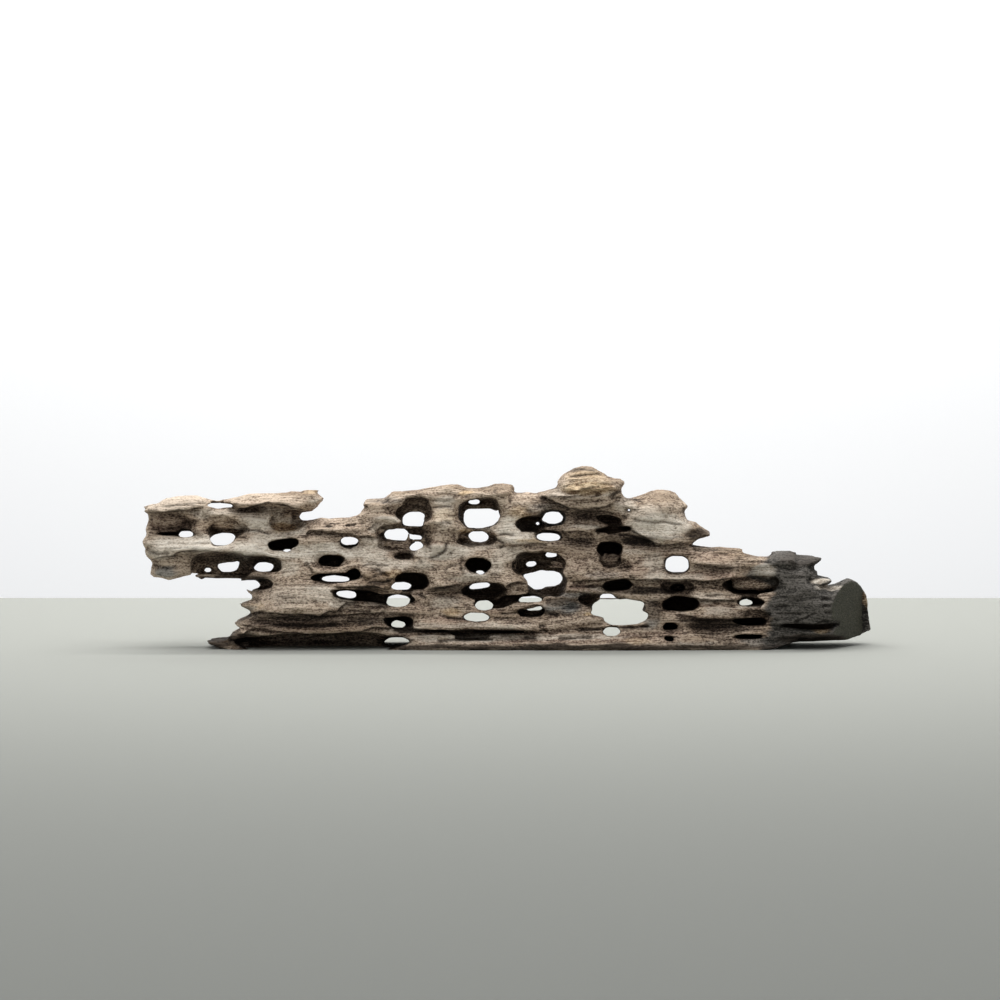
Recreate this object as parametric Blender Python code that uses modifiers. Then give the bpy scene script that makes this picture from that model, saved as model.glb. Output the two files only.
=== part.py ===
# Honeycomb driftwood: one weathered slab of wood, bored through by shipworms and rotted along its grain.
# Metres, +Z up, the length along X, the face that shows best towards -Y, resting on Z = 0.

import math

import bmesh
import bpy
import numpy as np
from mathutils import Matrix, Vector, noise

MM = 0.001

# Driving dimensions
HALF_SLAB = 31 * MM  # half the slab's thickness before its faces are weathered
SHAPE_LENGTH = 691  # the length that the outline below is drawn at, in millimetres
LENGTH = 691 * MM  # the piece's real length
SCALE = LENGTH / SHAPE_LENGTH  # metres in one millimetre of the drawing

# The bores fan out a little and fall towards the back, as if drawn from one point far in front of the face.
FAN_POINT = Vector((-7.6, -4440.0, 377.0))

# The outline, clockwise as seen from the front, as (x, z) in millimetres. x = 0 is the middle, z = 0 the base.
ARM_TOP = [
    (-346, 130), (-340, 134), (-333, 136), (-329, 138), (-326, 141), (-319, 142), (-311, 143.5), (-305, 144),
    (-294, 143.5), (-289, 141.5), (-284, 140), (-278, 138.5), (-272, 138.5), (-266, 140), (-260, 142),
    (-250, 144), (-240, 145.5), (-228, 145.5), (-215, 146), (-203, 148), (-195, 147.5), (-188, 149),
    (-182, 148), (-180, 144), (-175, 142), (-175, 139.5), (-179, 137), (-183, 133), (-185, 131),
]
NOTCH_BEHIND_ARM = [
    (-190, 129.5), (-197, 128), (-199, 126), (-200, 121), (-198, 119), (-190, 119.5), (-181, 121),
    (-177, 123), (-174, 121.5), (-160, 121.5), (-150, 123), (-142, 126), (-137, 130), (-134, 132.5),
]
TOP_EDGE = [
    (-138, 136), (-135, 139.5), (-124, 140.5), (-117, 141), (-112, 145), (-109, 148), (-95, 148), (-84, 149),
    (-72, 150.5), (-63, 152.5), (-52, 154), (-45, 153), (-38, 151), (-30, 151), (-20, 152), (-14, 154.5),
    (-5, 155), (5, 154), (5, 151), (4.5, 146), (10, 146), (20, 146), (27, 145.5), (34, 148), (42, 149.5),
]
KNOB = [
    (48, 150.5), (49, 153), (46, 157), (50, 161), (54, 165), (58, 167), (62, 169.5), (69, 171), (76, 171.5),
    (82, 170), (87, 166.5), (91, 164.5), (94, 161), (100, 160), (108, 159.5), (111, 157), (107, 155),
    (106, 150), (108, 146), (107.5, 142),
]
SHOULDER = [
    (113, 141), (122, 142), (128, 144), (134, 147), (140, 149), (150, 149), (155, 147.5), (161, 145),
    (163, 141), (167, 138), (171, 134.5), (167, 131), (166, 129.5), (168, 126), (169, 121), (173, 118.5),
    (180, 117), (184, 114.5), (186, 112), (191, 110), (192, 107), (185, 104.5), (178, 103), (174, 101),
    (172, 98.5), (176, 96), (182, 95),
]
RIGHT_STEPS = [
    (195, 94), (215, 93.5), (222, 93), (221, 90), (224, 87.5), (230, 87.5), (236, 86), (243, 85), (248, 85.5),
    (251, 88), (254, 91), (260, 91), (268, 90.5), (272, 90), (274, 85.5), (280, 85.5), (286, 86.5), (290, 86.5),
    (292, 85), (299, 84.5), (291, 79.5), (289, 76), (290, 73), (295, 72), (291, 70), (293, 67), (299, 66),
    (307, 65), (308, 62), (301, 60), (296, 59), (298, 57), (304, 56), (310, 57.5), (316, 60),
]
SAWN_END = [
    (321, 62.5), (326, 64), (334, 61), (339, 57), (342, 51), (344, 47), (344.5, 36), (345, 27), (348, 19),
    (348, 14), (344, 10), (338, 8),
]
BASE = [(300, 6.5), (262, 4), (238, -4), (-255, -4)]
ROOT_TIPS = [
    (-268, -1), (-278, 2), (-288, 6), (-276, 8), (-264, 7), (-264, 12), (-256, 16), (-247, 20),
    (-260, 22.5), (-260, 24), (-250, 28), (-243, 31), (-240, 34), (-256, 40), (-246, 42.5), (-241, 46),
    (-240, 48), (-244, 52), (-249, 55),
]
ARM_ROOT = [(-243, 54), (-238, 55), (-235, 57.5), (-235, 60.5), (-238, 63)]
ARM_UNDERSIDE = [
    (-246, 64.5), (-252, 64), (-256, 65.5), (-265, 66.5), (-278, 66.5), (-281, 65), (-294, 65), (-293, 69),
    (-300, 70), (-308, 69), (-312, 67.5), (-318, 65), (-324, 65), (-336, 66.5),
]
ARM_END = [
    (-340, 70), (-338, 74), (-337.5, 79), (-336, 82), (-340, 84), (-343, 87), (-344, 91), (-341.5, 95),
    (-346, 98), (-346.5, 102), (-342, 105.5), (-343, 108), (-344, 112), (-343, 116), (-341, 121), (-340, 125),
    (-343, 128),
]
WEATHERED_EDGE = (
    ROOT_TIPS + ARM_ROOT + ARM_UNDERSIDE + ARM_END + ARM_TOP + NOTCH_BEHIND_ARM + TOP_EDGE
    + KNOB + SHOULDER + RIGHT_STEPS + SAWN_END
)

# Blind pockets that open in the front face: name, x, z, width, height, depth, turn in degrees.
FRONT_POCKETS = [
    ("arm_channel", -336, 117, 78, 20, 21, 0),
    ("arm_eye_roof", -267, 112, 38, 14, 24, 4),
    ("under_arm_top", -240, 131, 62, 7, 12, 3),
    ("arm_pocket", -209, 119.5, 36, 20, 34, 4),
    ("arm_oval", -213.5, 97.5, 29, 10.5, 44, 8),
    ("arm_hollow", -273, 76.5, 60, 28, 44, 0),
    ("arm_hollow_right", -236, 79.5, 38, 15, 36, 0),
    ("root_notch", -236, 59.5, 20, 9.5, 34, 0),
    ("base_hollow", -178, 4, 164, 18, 34, 0.5),
    ("left_slot", -151.5, 99.3, 19, 10.5, 40, 0),
    ("brown_socket", -168, 82, 25, 11.5, 38, 0),
    ("socket_slit", -164, 66.3, 46, 8.5, 40, 2),
    ("socket_slit_end", -146, 69, 13, 11, 38, 20),
    ("under_burl", -139, 48.5, 58, 11, 40, -8),
    ("square_pocket", -92, 62.5, 33, 17, 42, 0),
    ("left_gravel_hole", -106, 45, 36, 11, 36, 0),
    ("low_oval", -103.5, 23.8, 28, 11, 42, 0),
    ("stepped_recess", -102, 108, 48, 19, 29, 0),
    ("stepped_recess_floor", -104, 96, 42, 12, 16, 0),
    ("dimple", -99, 85.7, 21, 7, 22, 4),
    ("upper_window_roof", -87, 129, 30, 25, 27, 0),
    ("upper_window_slit", -103, 127, 8, 11, 30, 0),
    ("big_window", -28, 127, 41, 29, 38, 0),
    ("funnel", -30, 103, 38, 16, 22, 0),
    ("ring_hole", -29, 77.5, 25, 14, 46, 0),
    ("slit_basin", -24, 53.5, 42, 15, 40, 2),
    ("middle_slot", -16, 40.5, 38, 8, 36, 2),
    ("upper_eye_left", 22, 116.5, 28, 15, 40, 10),
    ("upper_eye_right", 43, 122.5, 25, 16, 40, 0),
    ("upper_eye_sliver", 39, 105.5, 26, 9, 34, 4),
    ("great_window_roof", 31, 78, 48, 24, 42, 0),
    ("great_window", 37, 61, 38, 26, 40, 0),
    ("great_window_lip", 11, 78, 15, 13, 18, 20),
    ("plank_slit", 14, 46.6, 42, 7, 36, 3),
    ("shell_hole", 22, 33, 27, 9.5, 32, 3),
    ("knob_channel_end", 97, 121, 24, 8, 30, -6),
    ("ribbed_pocket", 104, 111, 30, 7, 26, 4),
    ("upper_socket", 97, 93, 25, 13, 46, 0),
    ("upper_socket_ball", 98, 82, 21, 15, 26, 0),
    ("dark_slot", 105, 58.5, 30, 10, 44, 2),
    ("square_window", 160.5, 78, 24.5, 17, 34, 0),
    ("eye_rim", 162, 57, 32, 12, 12, 0),
    ("eye", 162, 56.5, 15, 8, 44, 0),
    ("gravel_window_roof", 92, 43, 54, 14, 38, -6),
    ("great_oval", 165, 40.5, 36, 14, 46, 0),
    ("small_slot", 154.5, 19, 16, 7, 34, 0),
    ("base_eye", 153.5, 7.2, 11, 5, 26, 0),
    ("long_oval", 233, 58.5, 51, 17, 36, 2),
    ("long_oval_end", 254, 62, 9, 9, 46, 0),
    ("right_slit", 231, 42.3, 28, 7.5, 42, 0),
    ("right_shelf", 237, 31, 30, 7, 12, 0),
    ("right_slot", 231, 23.5, 34, 7.5, 40, 0),
    ("right_base_slot", 231, 9.3, 33, 5, 32, 0),
    ("charred_channel", 288, 18, 74, 5.5, 12, 1),
    ("charred_undercut", 300, 6, 92, 6, 20, 1.5),
    ("base_band", -40, 14.8, 140, 4.6, 22, -0.8),
    ("base_split", -42, 7.2, 50, 3.2, 14, 1),
]

# Openings of the back half, which let light through a front pocket: name, x, z, width, height, turn.
BACK_WINDOWS = [
    ("arm_channel", -306, 107.5, 16, 8, 0),
    ("arm_oval", -210, 89.5, 12, 7, 0),
    ("arm_hollow_a", -285.5, 73.2, 8, 5, 0),
    ("arm_hollow_b", -265.5, 76, 22, 9, 4),
    ("arm_hollow_c", -231.5, 76, 20, 9, 0),
    ("left_slot", -151, 101.3, 19, 7, 0),
    ("socket_slit", -164, 64.3, 36, 6, 0),
    ("under_burl", -154, 49.5, 23, 7.5, 0),
    ("square_pocket", -101, 58, 22, 6.5, 0),
    ("left_gravel_hole", -104.5, 44, 24, 11, 0),
    ("low_oval", -104.5, 20.2, 17, 7, 0),
    ("base_hollow", -106, 5.5, 26, 6, 0),
    ("stepped_recess_a", -108, 106, 22, 10, 0),
    ("stepped_recess_b", -87, 104.2, 14, 5.5, 0),
    ("stepped_recess_c", -86.5, 94.6, 15, 7, 8),
    ("upper_window", -89.5, 122, 23, 12, 0),
    ("big_window", -25.5, 122.5, 35, 18, 0),
    ("big_window_slit", -32, 138.3, 17, 5, 2),
    ("funnel", -29, 104.5, 19, 10, 0),
    ("ring_hole", -27, 70.5, 14, 6, 0),
    ("slit_basin", -27, 58.5, 24, 6, 8),
    ("middle_slot", -23.5, 39.5, 19, 9, 0),
    ("upper_eye_a", 42.5, 123, 20, 11, -4),
    ("upper_eye_b", 29, 118, 8, 5, 0),
    ("upper_eye_sliver", 39.5, 104.8, 24, 7, 3),
    ("great_window", 34, 64, 38, 16, 2),
    ("great_window_spur", 28, 59, 13, 10, 0),
    ("great_window_slit", 41, 87.5, 16, 6, 0),
    ("great_window_bead", 22, 78.8, 13.5, 6, 3),
    ("plank_slit", 22, 45.6, 28, 5, -3),
    ("shell_hole", 25, 35.8, 21, 5, 5),
    ("square_window", 160.5, 79.3, 21, 12.5, 0),
    ("gravel_window_slit", 94, 47.5, 16, 5, 0),
    ("right_slit", 226.5, 41.6, 16, 6, 5),
]

# Bores that run straight through: name, x, z, width, height, turn.
THROUGH_BORES = [
    ("arm_slit", -275, 134.2, 31, 6, 2),
    ("arm_eye", -271, 102.3, 25, 12, 6),
    ("low_slot", -30, 28, 27, 7, 0),
    ("pinhole", 115, 130, 7, 6, 0),
    ("gravel_window_top", 105, 37.5, 54, 15, 4),
    ("gravel_window_foot", 112, 27, 44, 11, 2),
    ("base_gap", 99, 14.5, 16, 5, 0),
]

# Pockets that open only in the back face: name, x, z, width, height, depth, turn.
BACK_POCKETS = [
    ("back_arm_a", -318, 90, 30, 12, 30, 4),
    ("back_arm_b", -240, 112, 34, 13, 36, -6),
    ("back_root_a", -205, 70, 30, 14, 36, 8),
    ("back_root_b", -190, 42, 42, 12, 32, -4),
    ("back_left_a", -130, 76, 20, 12, 40, 0),
    ("back_left_b", -62, 84, 30, 13, 38, 6),
    ("back_left_c", -66, 30, 36, 11, 34, 0),
    ("back_left_d", -150, 24, 30, 10, 30, 3),
    ("back_middle_a", 2, 128, 26, 13, 34, 0),
    ("back_middle_b", -5, 94, 26, 11, 36, -8),
    ("back_middle_c", 62, 34, 28, 10, 34, 4),
    ("back_middle_d", 74, 74, 24, 14, 40, 0),
    ("back_knob", 72, 148, 26, 11, 24, 6),
    ("back_shoulder_a", 140, 124, 28, 13, 30, 0),
    ("back_shoulder_b", 128, 76, 20, 12, 34, 0),
    ("back_right_a", 198, 52, 34, 13, 36, -3),
    ("back_right_b", 192, 84, 24, 8, 26, 0),
    ("back_right_c", 268, 70, 26, 11, 28, 5),
    ("back_right_d", 272, 36, 40, 13, 32, 2),
    ("back_right_e", 196, 18, 32, 9, 28, 0),
]

# Swells and hollows of the front face: x, z, half-width, half-height, rise towards the viewer in millimetres.
FRONT_SWELLS = [
    (-255, 142, 95, 12, 7), (-275, 97, 75, 9, 7), (-330, 72, 18, 10, -3), (-255, 121, 40, 9, -8),
    (-205, 48, 48, 17, 9), (-205, 21, 60, 6, 4), (-138, 64, 34, 11, 11), (-165, 76, 24, 7, 5),
    (-62, 118, 18, 22, 7), (-30, 146, 45, 7, 5), (-60, 76, 30, 10, 3), (-27, 78, 20, 12, 3),
    (0, 70, 16, 16, 2), (78, 152, 36, 20, 17), (70, 113, 24, 5, 4), (140, 126, 34, 24, 9),
    (150, 78, 70, 14, 3), (195, 50, 26, 6, 4), (195, 36, 24, 7, 5), (20, 24, 70, 6, 4),
    (60, 4, 190, 7, 10), (285, 46, 42, 34, 9), (262, 84, 26, 8, 4),
    (79, 125, 27, 5, -8), (69, 102.5, 16, 6.5, -11), (198, 72.6, 21, 3.4, -5), (192, 20.5, 27, 6.5, -8),
    (-58, 53, 20, 3, -6), (124, 101, 17, 4.5, -8), (110, 78, 8, 6, -8), (-118, 66, 17, 9, 5),
    (-60, 61, 20, 6, 4), (0, 62, 14, 7, 3), (140, 108, 26, 6, 4),
]
BACK_SWELLS = [
    (-200, 60, 70, 40, 5), (-60, 110, 60, 30, 6), (80, 140, 50, 26, 12), (60, 50, 70, 26, 6),
    (150, 100, 50, 30, 4), (280, 44, 60, 36, 10), (0, 4, 280, 10, 10), (-270, 110, 70, 24, -4),
]

# Broken ledges of the front face: rise, how far it fades upwards, and its sharp lower edge from left to right.
LEDGES = [
    (7, 9, [(-342, 128), (-318, 129), (-298, 131)]),
    (5, 7, [(-342, 105), (-318, 107), (-297, 111), (-285, 105)]),
    (7, 9, [(-337, 86), (-310, 91), (-285, 91.5), (-255, 87), (-217, 84)]),
    (6, 12, [(-258, 131), (-228, 138), (-213, 134), (-195, 130)]),
    (9, 22, [(-250, 29), (-225, 31), (-200, 32), (-180, 33), (-158, 35)]),
    (7, 12, [(-264, 16), (-240, 14), (-200, 13), (-160, 12), (-120, 12)]),
    (6, 12, [(-168, 51), (-145, 51), (-125, 47), (-108, 50)]),
    (5, 14, [(-112, 17), (-60, 17), (0, 17), (40, 18)]),
    (4, 8, [(-76, 57), (-60, 56), (-40, 57)]),
    (4, 7, [(-45, 100), (0, 98), (42, 98)]),
    (4, 8, [(36, 45), (66, 45), (90, 52)]),
    (4, 9, [(60, 62), (122, 62), (150, 62), (205, 62), (232, 66)]),
    (3, 6, [(128, 88), (150, 87), (175, 88)]),
    (3, 6, [(126, 101), (148, 103), (168, 103)]),
    (9, 16, [(44, 151), (70, 151), (90, 152), (108, 150)]),
    (4, 6, [(28, 142), (50, 143), (72, 142)]),
    (4, 8, [(176, 44), (205, 44), (222, 45)]),
    (4, 8, [(212, 29), (244, 32), (262, 30)]),
    (5, 8, [(216, 78), (250, 80), (286, 79)]),
]

BACK_TAPER = 0.12  # how far the back leans towards the front for each unit of height
FRONT_TAPER = 0.06
VOXEL = 2.1 * MM
CUTTER_VOXEL = 2.2 * MM
TRIANGLES = 9600


def clear_scene():
    for obj in list(bpy.data.objects):
        bpy.data.objects.remove(obj)


def new_collection(name):
    made = bpy.data.collections.new(name)
    bpy.context.scene.collection.children.link(made)
    return made


def add_object(name, mesh, collection):
    obj = bpy.data.objects.new(name, mesh)
    collection.objects.link(obj)
    return obj


def evaluated_mesh(obj):
    """The object's mesh with its modifiers applied."""
    bpy.context.view_layer.update()
    graph = bpy.context.evaluated_depsgraph_get()
    return bpy.data.meshes.new_from_object(obj.evaluated_get(graph))


def in_fixed_order(mesh):
    """The same mesh with its vertices and faces sorted, because the Boolean leaves them in a changing order."""
    places = [tuple(vert.co) for vert in mesh.vertices]
    order = sorted(range(len(places)), key=places.__getitem__)
    rank = {old: new for new, old in enumerate(order)}
    faces = []
    for polygon in mesh.polygons:
        corners = [rank[index] for index in polygon.vertices]
        first = corners.index(min(corners))
        faces.append(corners[first:] + corners[:first])
    ordered = bpy.data.meshes.new(mesh.name)
    ordered.from_pydata([places[index] for index in order], [], sorted(faces))
    return ordered


def bake_modifiers(obj):
    """Swaps the object's mesh for its evaluated one and drops the modifiers."""
    mesh = in_fixed_order(evaluated_mesh(obj))
    obj.modifiers.clear()
    obj.data = mesh


def slab_from_outline(collection):
    """The slab: the outline as a flat curve, given its thickness and stood upright."""
    curve = bpy.data.curves.new("slab_outline", "CURVE")
    curve.dimensions = "2D"
    curve.fill_mode = "BOTH"
    curve.extrude = HALF_SLAB / SCALE
    outline = WEATHERED_EDGE + BASE
    spline = curve.splines.new("POLY")
    spline.points.add(len(outline) - 1)
    for point, (x, z) in zip(spline.points, outline):
        point.co = (x, z, 0, 1)
    spline.use_cyclic_u = True
    guide = add_object("slab_outline", curve, collection)
    mesh = evaluated_mesh(guide)
    bpy.data.objects.remove(guide)
    upright = Matrix.Rotation(math.radians(90), 4, "X")
    bm = bmesh.new()
    bm.from_mesh(mesh)
    bmesh.ops.remove_doubles(bm, verts=bm.verts, dist=0.01)
    bmesh.ops.transform(bm, matrix=Matrix.Scale(SCALE, 4) @ upright, verts=bm.verts)
    bm.to_mesh(mesh)
    bm.free()
    return add_object("honeycomb_wood", mesh, collection)


def fanned(x, y, z):
    """A point of the drawing at depth y, moved away from the fan point as the bores spread."""
    spread = (y - FAN_POINT.y) / -FAN_POINT.y
    return Vector((FAN_POINT.x + (x - FAN_POINT.x) * spread, y, FAN_POINT.z + (z - FAN_POINT.z) * spread))


def as_cutter(obj):
    obj.hide_render = True
    obj.display_type = "WIRE"


def bore(name, x, z, width, height, near, far, turn, cutters):
    """A cutter for one bore: a squared-up egg whose long axis runs from depth near to depth far."""
    flat_side = 0.8  # below 1, the cross-section is a rounded rectangle rather than an ellipse
    flat_end = 0.32  # below 1, the wall stays nearly straight before it closes
    bm = bmesh.new()
    bmesh.ops.create_uvsphere(bm, u_segments=16, v_segments=8, radius=1)
    for vert in bm.verts:
        radius = math.hypot(vert.co.x, vert.co.y)
        angle = math.atan2(vert.co.y, vert.co.x)
        reach = radius**flat_end if radius > 1e-6 else 0
        across = math.copysign(abs(math.cos(angle)) ** flat_side, math.cos(angle)) * reach * width / 2
        up = math.copysign(abs(math.sin(angle)) ** flat_side, math.sin(angle)) * reach * height / 2
        tilt = math.radians(turn)
        side = x + across * math.cos(tilt) - up * math.sin(tilt)
        level = z + across * math.sin(tilt) + up * math.cos(tilt)
        depth = (near + far) / 2 + vert.co.z * (far - near) / 2
        vert.co = fanned(side, depth, level) * SCALE
    bmesh.ops.recalc_face_normals(bm, faces=bm.faces)
    mesh = bpy.data.meshes.new(name)
    bm.to_mesh(mesh)
    bm.free()
    as_cutter(add_object(name, mesh, cutters))


def add_bores(cutters):
    """Every bore and pocket as a cutter, each reaching well outside the face that it opens in."""
    face = HALF_SLAB / SCALE
    outside = 25
    for name, x, z, width, height, depth, turn in FRONT_POCKETS:
        bore("front_" + name, x, z, width, height, -outside - face, depth - face, turn, cutters)
    for name, x, z, width, height, turn in BACK_WINDOWS:
        bore("window_" + name, x, z, width, height, -30, outside + face, turn, cutters)
    for name, x, z, width, height, turn in THROUGH_BORES:
        bore("through_" + name, x, z, width, height, -outside - face, outside + face, turn, cutters)
    for name, x, z, width, height, depth, turn in BACK_POCKETS:
        bore(name, x, z, width, height, face - depth, outside + face, turn, cutters)


def merged_bores(cutters):
    """All the bores as one closed shape, because many of them run into each other."""
    bm = bmesh.new()
    for cutter in cutters.objects:
        bm.from_mesh(cutter.data)
    mesh = bpy.data.meshes.new("all_bores")
    bm.to_mesh(mesh)
    bm.free()
    bores = add_object("all_bores", mesh, cutters)
    as_cutter(bores)
    skin = bores.modifiers.new("one_skin", "REMESH")
    skin.mode = "VOXEL"
    skin.voxel_size = CUTTER_VOXEL
    bake_modifiers(bores)
    return bores


def cut_bores(wood, bores):
    cut = wood.modifiers.new("bores", "BOOLEAN")
    cut.operation = "DIFFERENCE"
    cut.solver = "EXACT"
    cut.object = bores
    bake_modifiers(wood)


def remesh(wood):
    """One even skin over the cut slab, with its edges worn round."""
    even = wood.modifiers.new("even_skin", "REMESH")
    even.mode = "VOXEL"
    even.voxel_size = VOXEL
    worn = wood.modifiers.new("worn_edges", "SMOOTH")
    worn.factor = 0.5
    worn.iterations = 4
    bake_modifiers(wood)


def distance_to_edge(x, z):
    """How far each point is from the weathered outline, in the drawing's millimetres."""
    nearest = np.full(len(x), 1e9)
    for (ax, az), (bx, bz) in zip(WEATHERED_EDGE, WEATHERED_EDGE[1:]):
        dx, dz = bx - ax, bz - az
        along = np.clip(((x - ax) * dx + (z - az) * dz) / (dx * dx + dz * dz), 0, 1)
        nearest = np.minimum(nearest, np.hypot(x - ax - along * dx, z - az - along * dz))
    return nearest


def swell(x, z, swells):
    total = np.zeros(len(x))
    for cx, cz, half_width, half_height, rise in swells:
        reach = ((x - cx) / half_width) ** 2 + ((z - cz) / half_height) ** 2
        total += rise * np.exp(-reach)
    return total


def ledge_relief(x, z):
    """Steps that rise sharply over their lower edge and fade upwards."""
    total = np.zeros(len(x))
    for rise, reach, edge in LEDGES:
        edge_x, edge_z = zip(*edge)
        above = z - np.interp(x, edge_x, edge_z)
        step = np.clip(above / 1.5 + 0.5, 0, 1) * np.exp(-np.clip(above, 0, None) / reach)
        ends = np.clip((x - edge_x[0]) / 8, 0, 1) * np.clip((edge_x[-1] - x) / 8, 0, 1)
        total += rise * step * ends
    return total


def patches(x, z, side):
    """An amount between about -1 and 1 that changes slowly over one face."""
    return np.array([2 * noise.noise(Vector((px / 42, pz / 30, side))) for px, pz in zip(x, z)])


def edge_wear(edge, reach, depth):
    """How far a face is rounded back at each point, from its distance to the outline."""
    worn = np.clip(1 - edge / reach, 0, 1)
    return depth * (1 - np.sqrt(1 - worn**2))


def grain_relief(x, z, side):
    """Ridges that run along the grain and wander with it."""
    relief = np.empty(len(x))
    for i, (px, pz) in enumerate(zip(x, z)):
        wander = 5 * noise.noise(Vector((px / 70, pz / 40, side)))
        ridge = noise.noise(Vector((px / 55, (pz + wander) / 7.5, side + 3)))
        lump = noise.noise(Vector((px / 30, pz / 16, side + 7)))
        relief[i] = 4.4 * (0.35 - abs(ridge)) + 2.0 * lump
    return relief


def unevenness(place):
    """A small shift in every direction that changes from place to place."""
    shift = Vector((0, 0, 0))
    for axis in range(3):
        apart = Vector((31.7 * axis, 0, 0))
        shift[axis] = 1.5 * noise.noise(place / 16 + apart) + 0.6 * noise.noise(place / 6 + apart)
    return shift


def weather_faces(wood):
    """Moves the two faces in and out: worn thin at the outline, swollen over the lumps, ridged along the grain."""
    mesh = wood.data
    points = np.empty(len(mesh.vertices) * 3, np.float32)
    mesh.vertices.foreach_get("co", points)
    points = points.reshape(-1, 3).astype(float) / SCALE
    x, y, z = points.T.copy()
    face = HALF_SLAB / SCALE
    edge = distance_to_edge(x, z)
    end = np.clip((x - 235) / 40, 0, 1)  # 1 at the charred end, which is as round as a log
    knob = np.exp(-(((x - 78) / 38) ** 2) - ((z - 160) / 22) ** 2)
    under = np.clip(1 - z / 26, 0, 1) * end
    under_wear = 26 * (1 - np.sqrt(1 - under**2))
    front_patch = patches(x, z, 40) * (1 - end)
    back_patch = patches(x, z, 60) * (1 - end)
    front = swell(x, z, FRONT_SWELLS) + ledge_relief(x, z) + grain_relief(x, z, 0)
    front -= edge_wear(edge, 14 + 6 * front_patch + 6 * end + 2 * knob, 15 + 7 * front_patch + 10 * end)
    front += 6 - FRONT_TAPER * z - under_wear
    back = swell(x, z, BACK_SWELLS) + grain_relief(x, z, 20) + 3 * back_patch
    back -= edge_wear(edge, 20 + 10 * back_patch + 4 * knob, 22 + 12 * back_patch + 3 * end)
    back += 12 - BACK_TAPER * z - under_wear
    near_front = np.clip(-y / face, 0, 1.2)
    near_back = np.clip(y / face, 0, 1.2)
    depth = np.round(y - near_front * front + near_back * back, 4)
    off_ground = np.round(np.clip(z / 3, 0, 1), 4)
    for i, vert in enumerate(mesh.vertices):
        shift = unevenness(Vector(points[i])) * off_ground[i]
        vert.co = (Vector((x[i], depth[i], z[i])) + shift) * SCALE
    mesh.update()


def thin_out(wood):
    """Keeps the shape with fewer faces."""
    fewer = wood.modifiers.new("fewer_faces", "DECIMATE")
    full = len(evaluated_mesh(wood).polygons) * 2
    fewer.ratio = TRIANGLES / full
    bake_modifiers(wood)


def flat_block(name, size, place, turn, cutters):
    bpy.ops.mesh.primitive_cube_add(size=1)
    block = bpy.context.object
    block.name = name
    block.data.transform(Matrix.LocRotScale(place, turn, size))
    for held in list(block.users_collection):
        held.objects.unlink(block)
    cutters.objects.link(block)
    as_cutter(block)
    return block


def cut_flat(wood, cutters):
    """Saws the right end at a slant as far as the torn rim at the back, and levels the base."""
    saw_turn = math.radians(-28)
    saw_point = Vector((327 * SCALE, 0, 0))
    saw = Matrix.Rotation(saw_turn, 3, "Z")
    side = 0.4
    torn_rim = 25 * SCALE  # where the saw stopped, measured along the cut from the slab's middle
    saw_middle = saw_point + saw @ Vector((side / 2, torn_rim - side / 2, 0))
    saw_block = flat_block("saw", (side, side, side), saw_middle, saw.to_quaternion(), cutters)
    ground = flat_block("ground", (2, side, side), Vector((0, 0, -side / 2)), None, cutters)
    for block in (saw_block, ground):
        cut = wood.modifiers.new(block.name, "BOOLEAN")
        cut.operation = "DIFFERENCE"
        cut.solver = "EXACT"
        cut.object = block
    bake_modifiers(wood)


def keep_largest_body(wood):
    """Drops crumbs that the cutting left loose."""
    bm = bmesh.new()
    bm.from_mesh(wood.data)
    bm.verts.ensure_lookup_table()
    left = set(bm.verts)
    bodies = []
    while left:
        start = left.pop()
        body = {start}
        queue = [start]
        while queue:
            for edge in queue.pop().link_edges:
                for vert in edge.verts:
                    if vert not in body:
                        body.add(vert)
                        left.discard(vert)
                        queue.append(vert)
        bodies.append(body)
    bodies.sort(key=len)
    for crumb in bodies[:-1]:
        bmesh.ops.delete(bm, geom=list(crumb), context="VERTS")
    bm.to_mesh(wood.data)
    bm.free()


def centre_on_base(wood):
    """Puts the origin at the middle of the bounding box, on the base."""
    corners = [Vector(corner) for corner in wood.bound_box]
    low = Vector([min(corner[i] for corner in corners) for i in range(3)])
    high = Vector([max(corner[i] for corner in corners) for i in range(3)])
    middle = (low + high) / 2
    wood.data.transform(Matrix.Translation((-middle.x, -middle.y, -low.z)))
    print("origin moved by", middle.x, middle.y, low.z, "size", high - low)


def weathered_wood():
    """Grey-brown bogwood, dry and matt."""
    material = bpy.data.materials.new("weathered_wood")
    material.use_nodes = True
    shader = material.node_tree.nodes["Principled BSDF"]
    shader.inputs["Base Color"].default_value = (0.20, 0.145, 0.105, 1)
    shader.inputs["Roughness"].default_value = 0.85
    shader.inputs["Metallic"].default_value = 0
    return material


def main():
    clear_scene()
    part = new_collection("honeycomb_wood")
    cutters = new_collection("cutters")
    blocks = new_collection("flat_cuts")
    wood = slab_from_outline(part)
    add_bores(cutters)
    cut_bores(wood, merged_bores(cutters))
    remesh(wood)
    keep_largest_body(wood)
    weather_faces(wood)
    thin_out(wood)
    cut_flat(wood, blocks)
    keep_largest_body(wood)
    centre_on_base(wood)
    wood.data.shade_smooth()
    wood.data.materials.clear()
    wood.data.materials.append(weathered_wood())


main()
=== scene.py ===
import math

import bmesh
import bpy
import numpy as np
from mathutils import Matrix, Vector, noise
from mathutils.bvhtree import BVHTree


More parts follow.
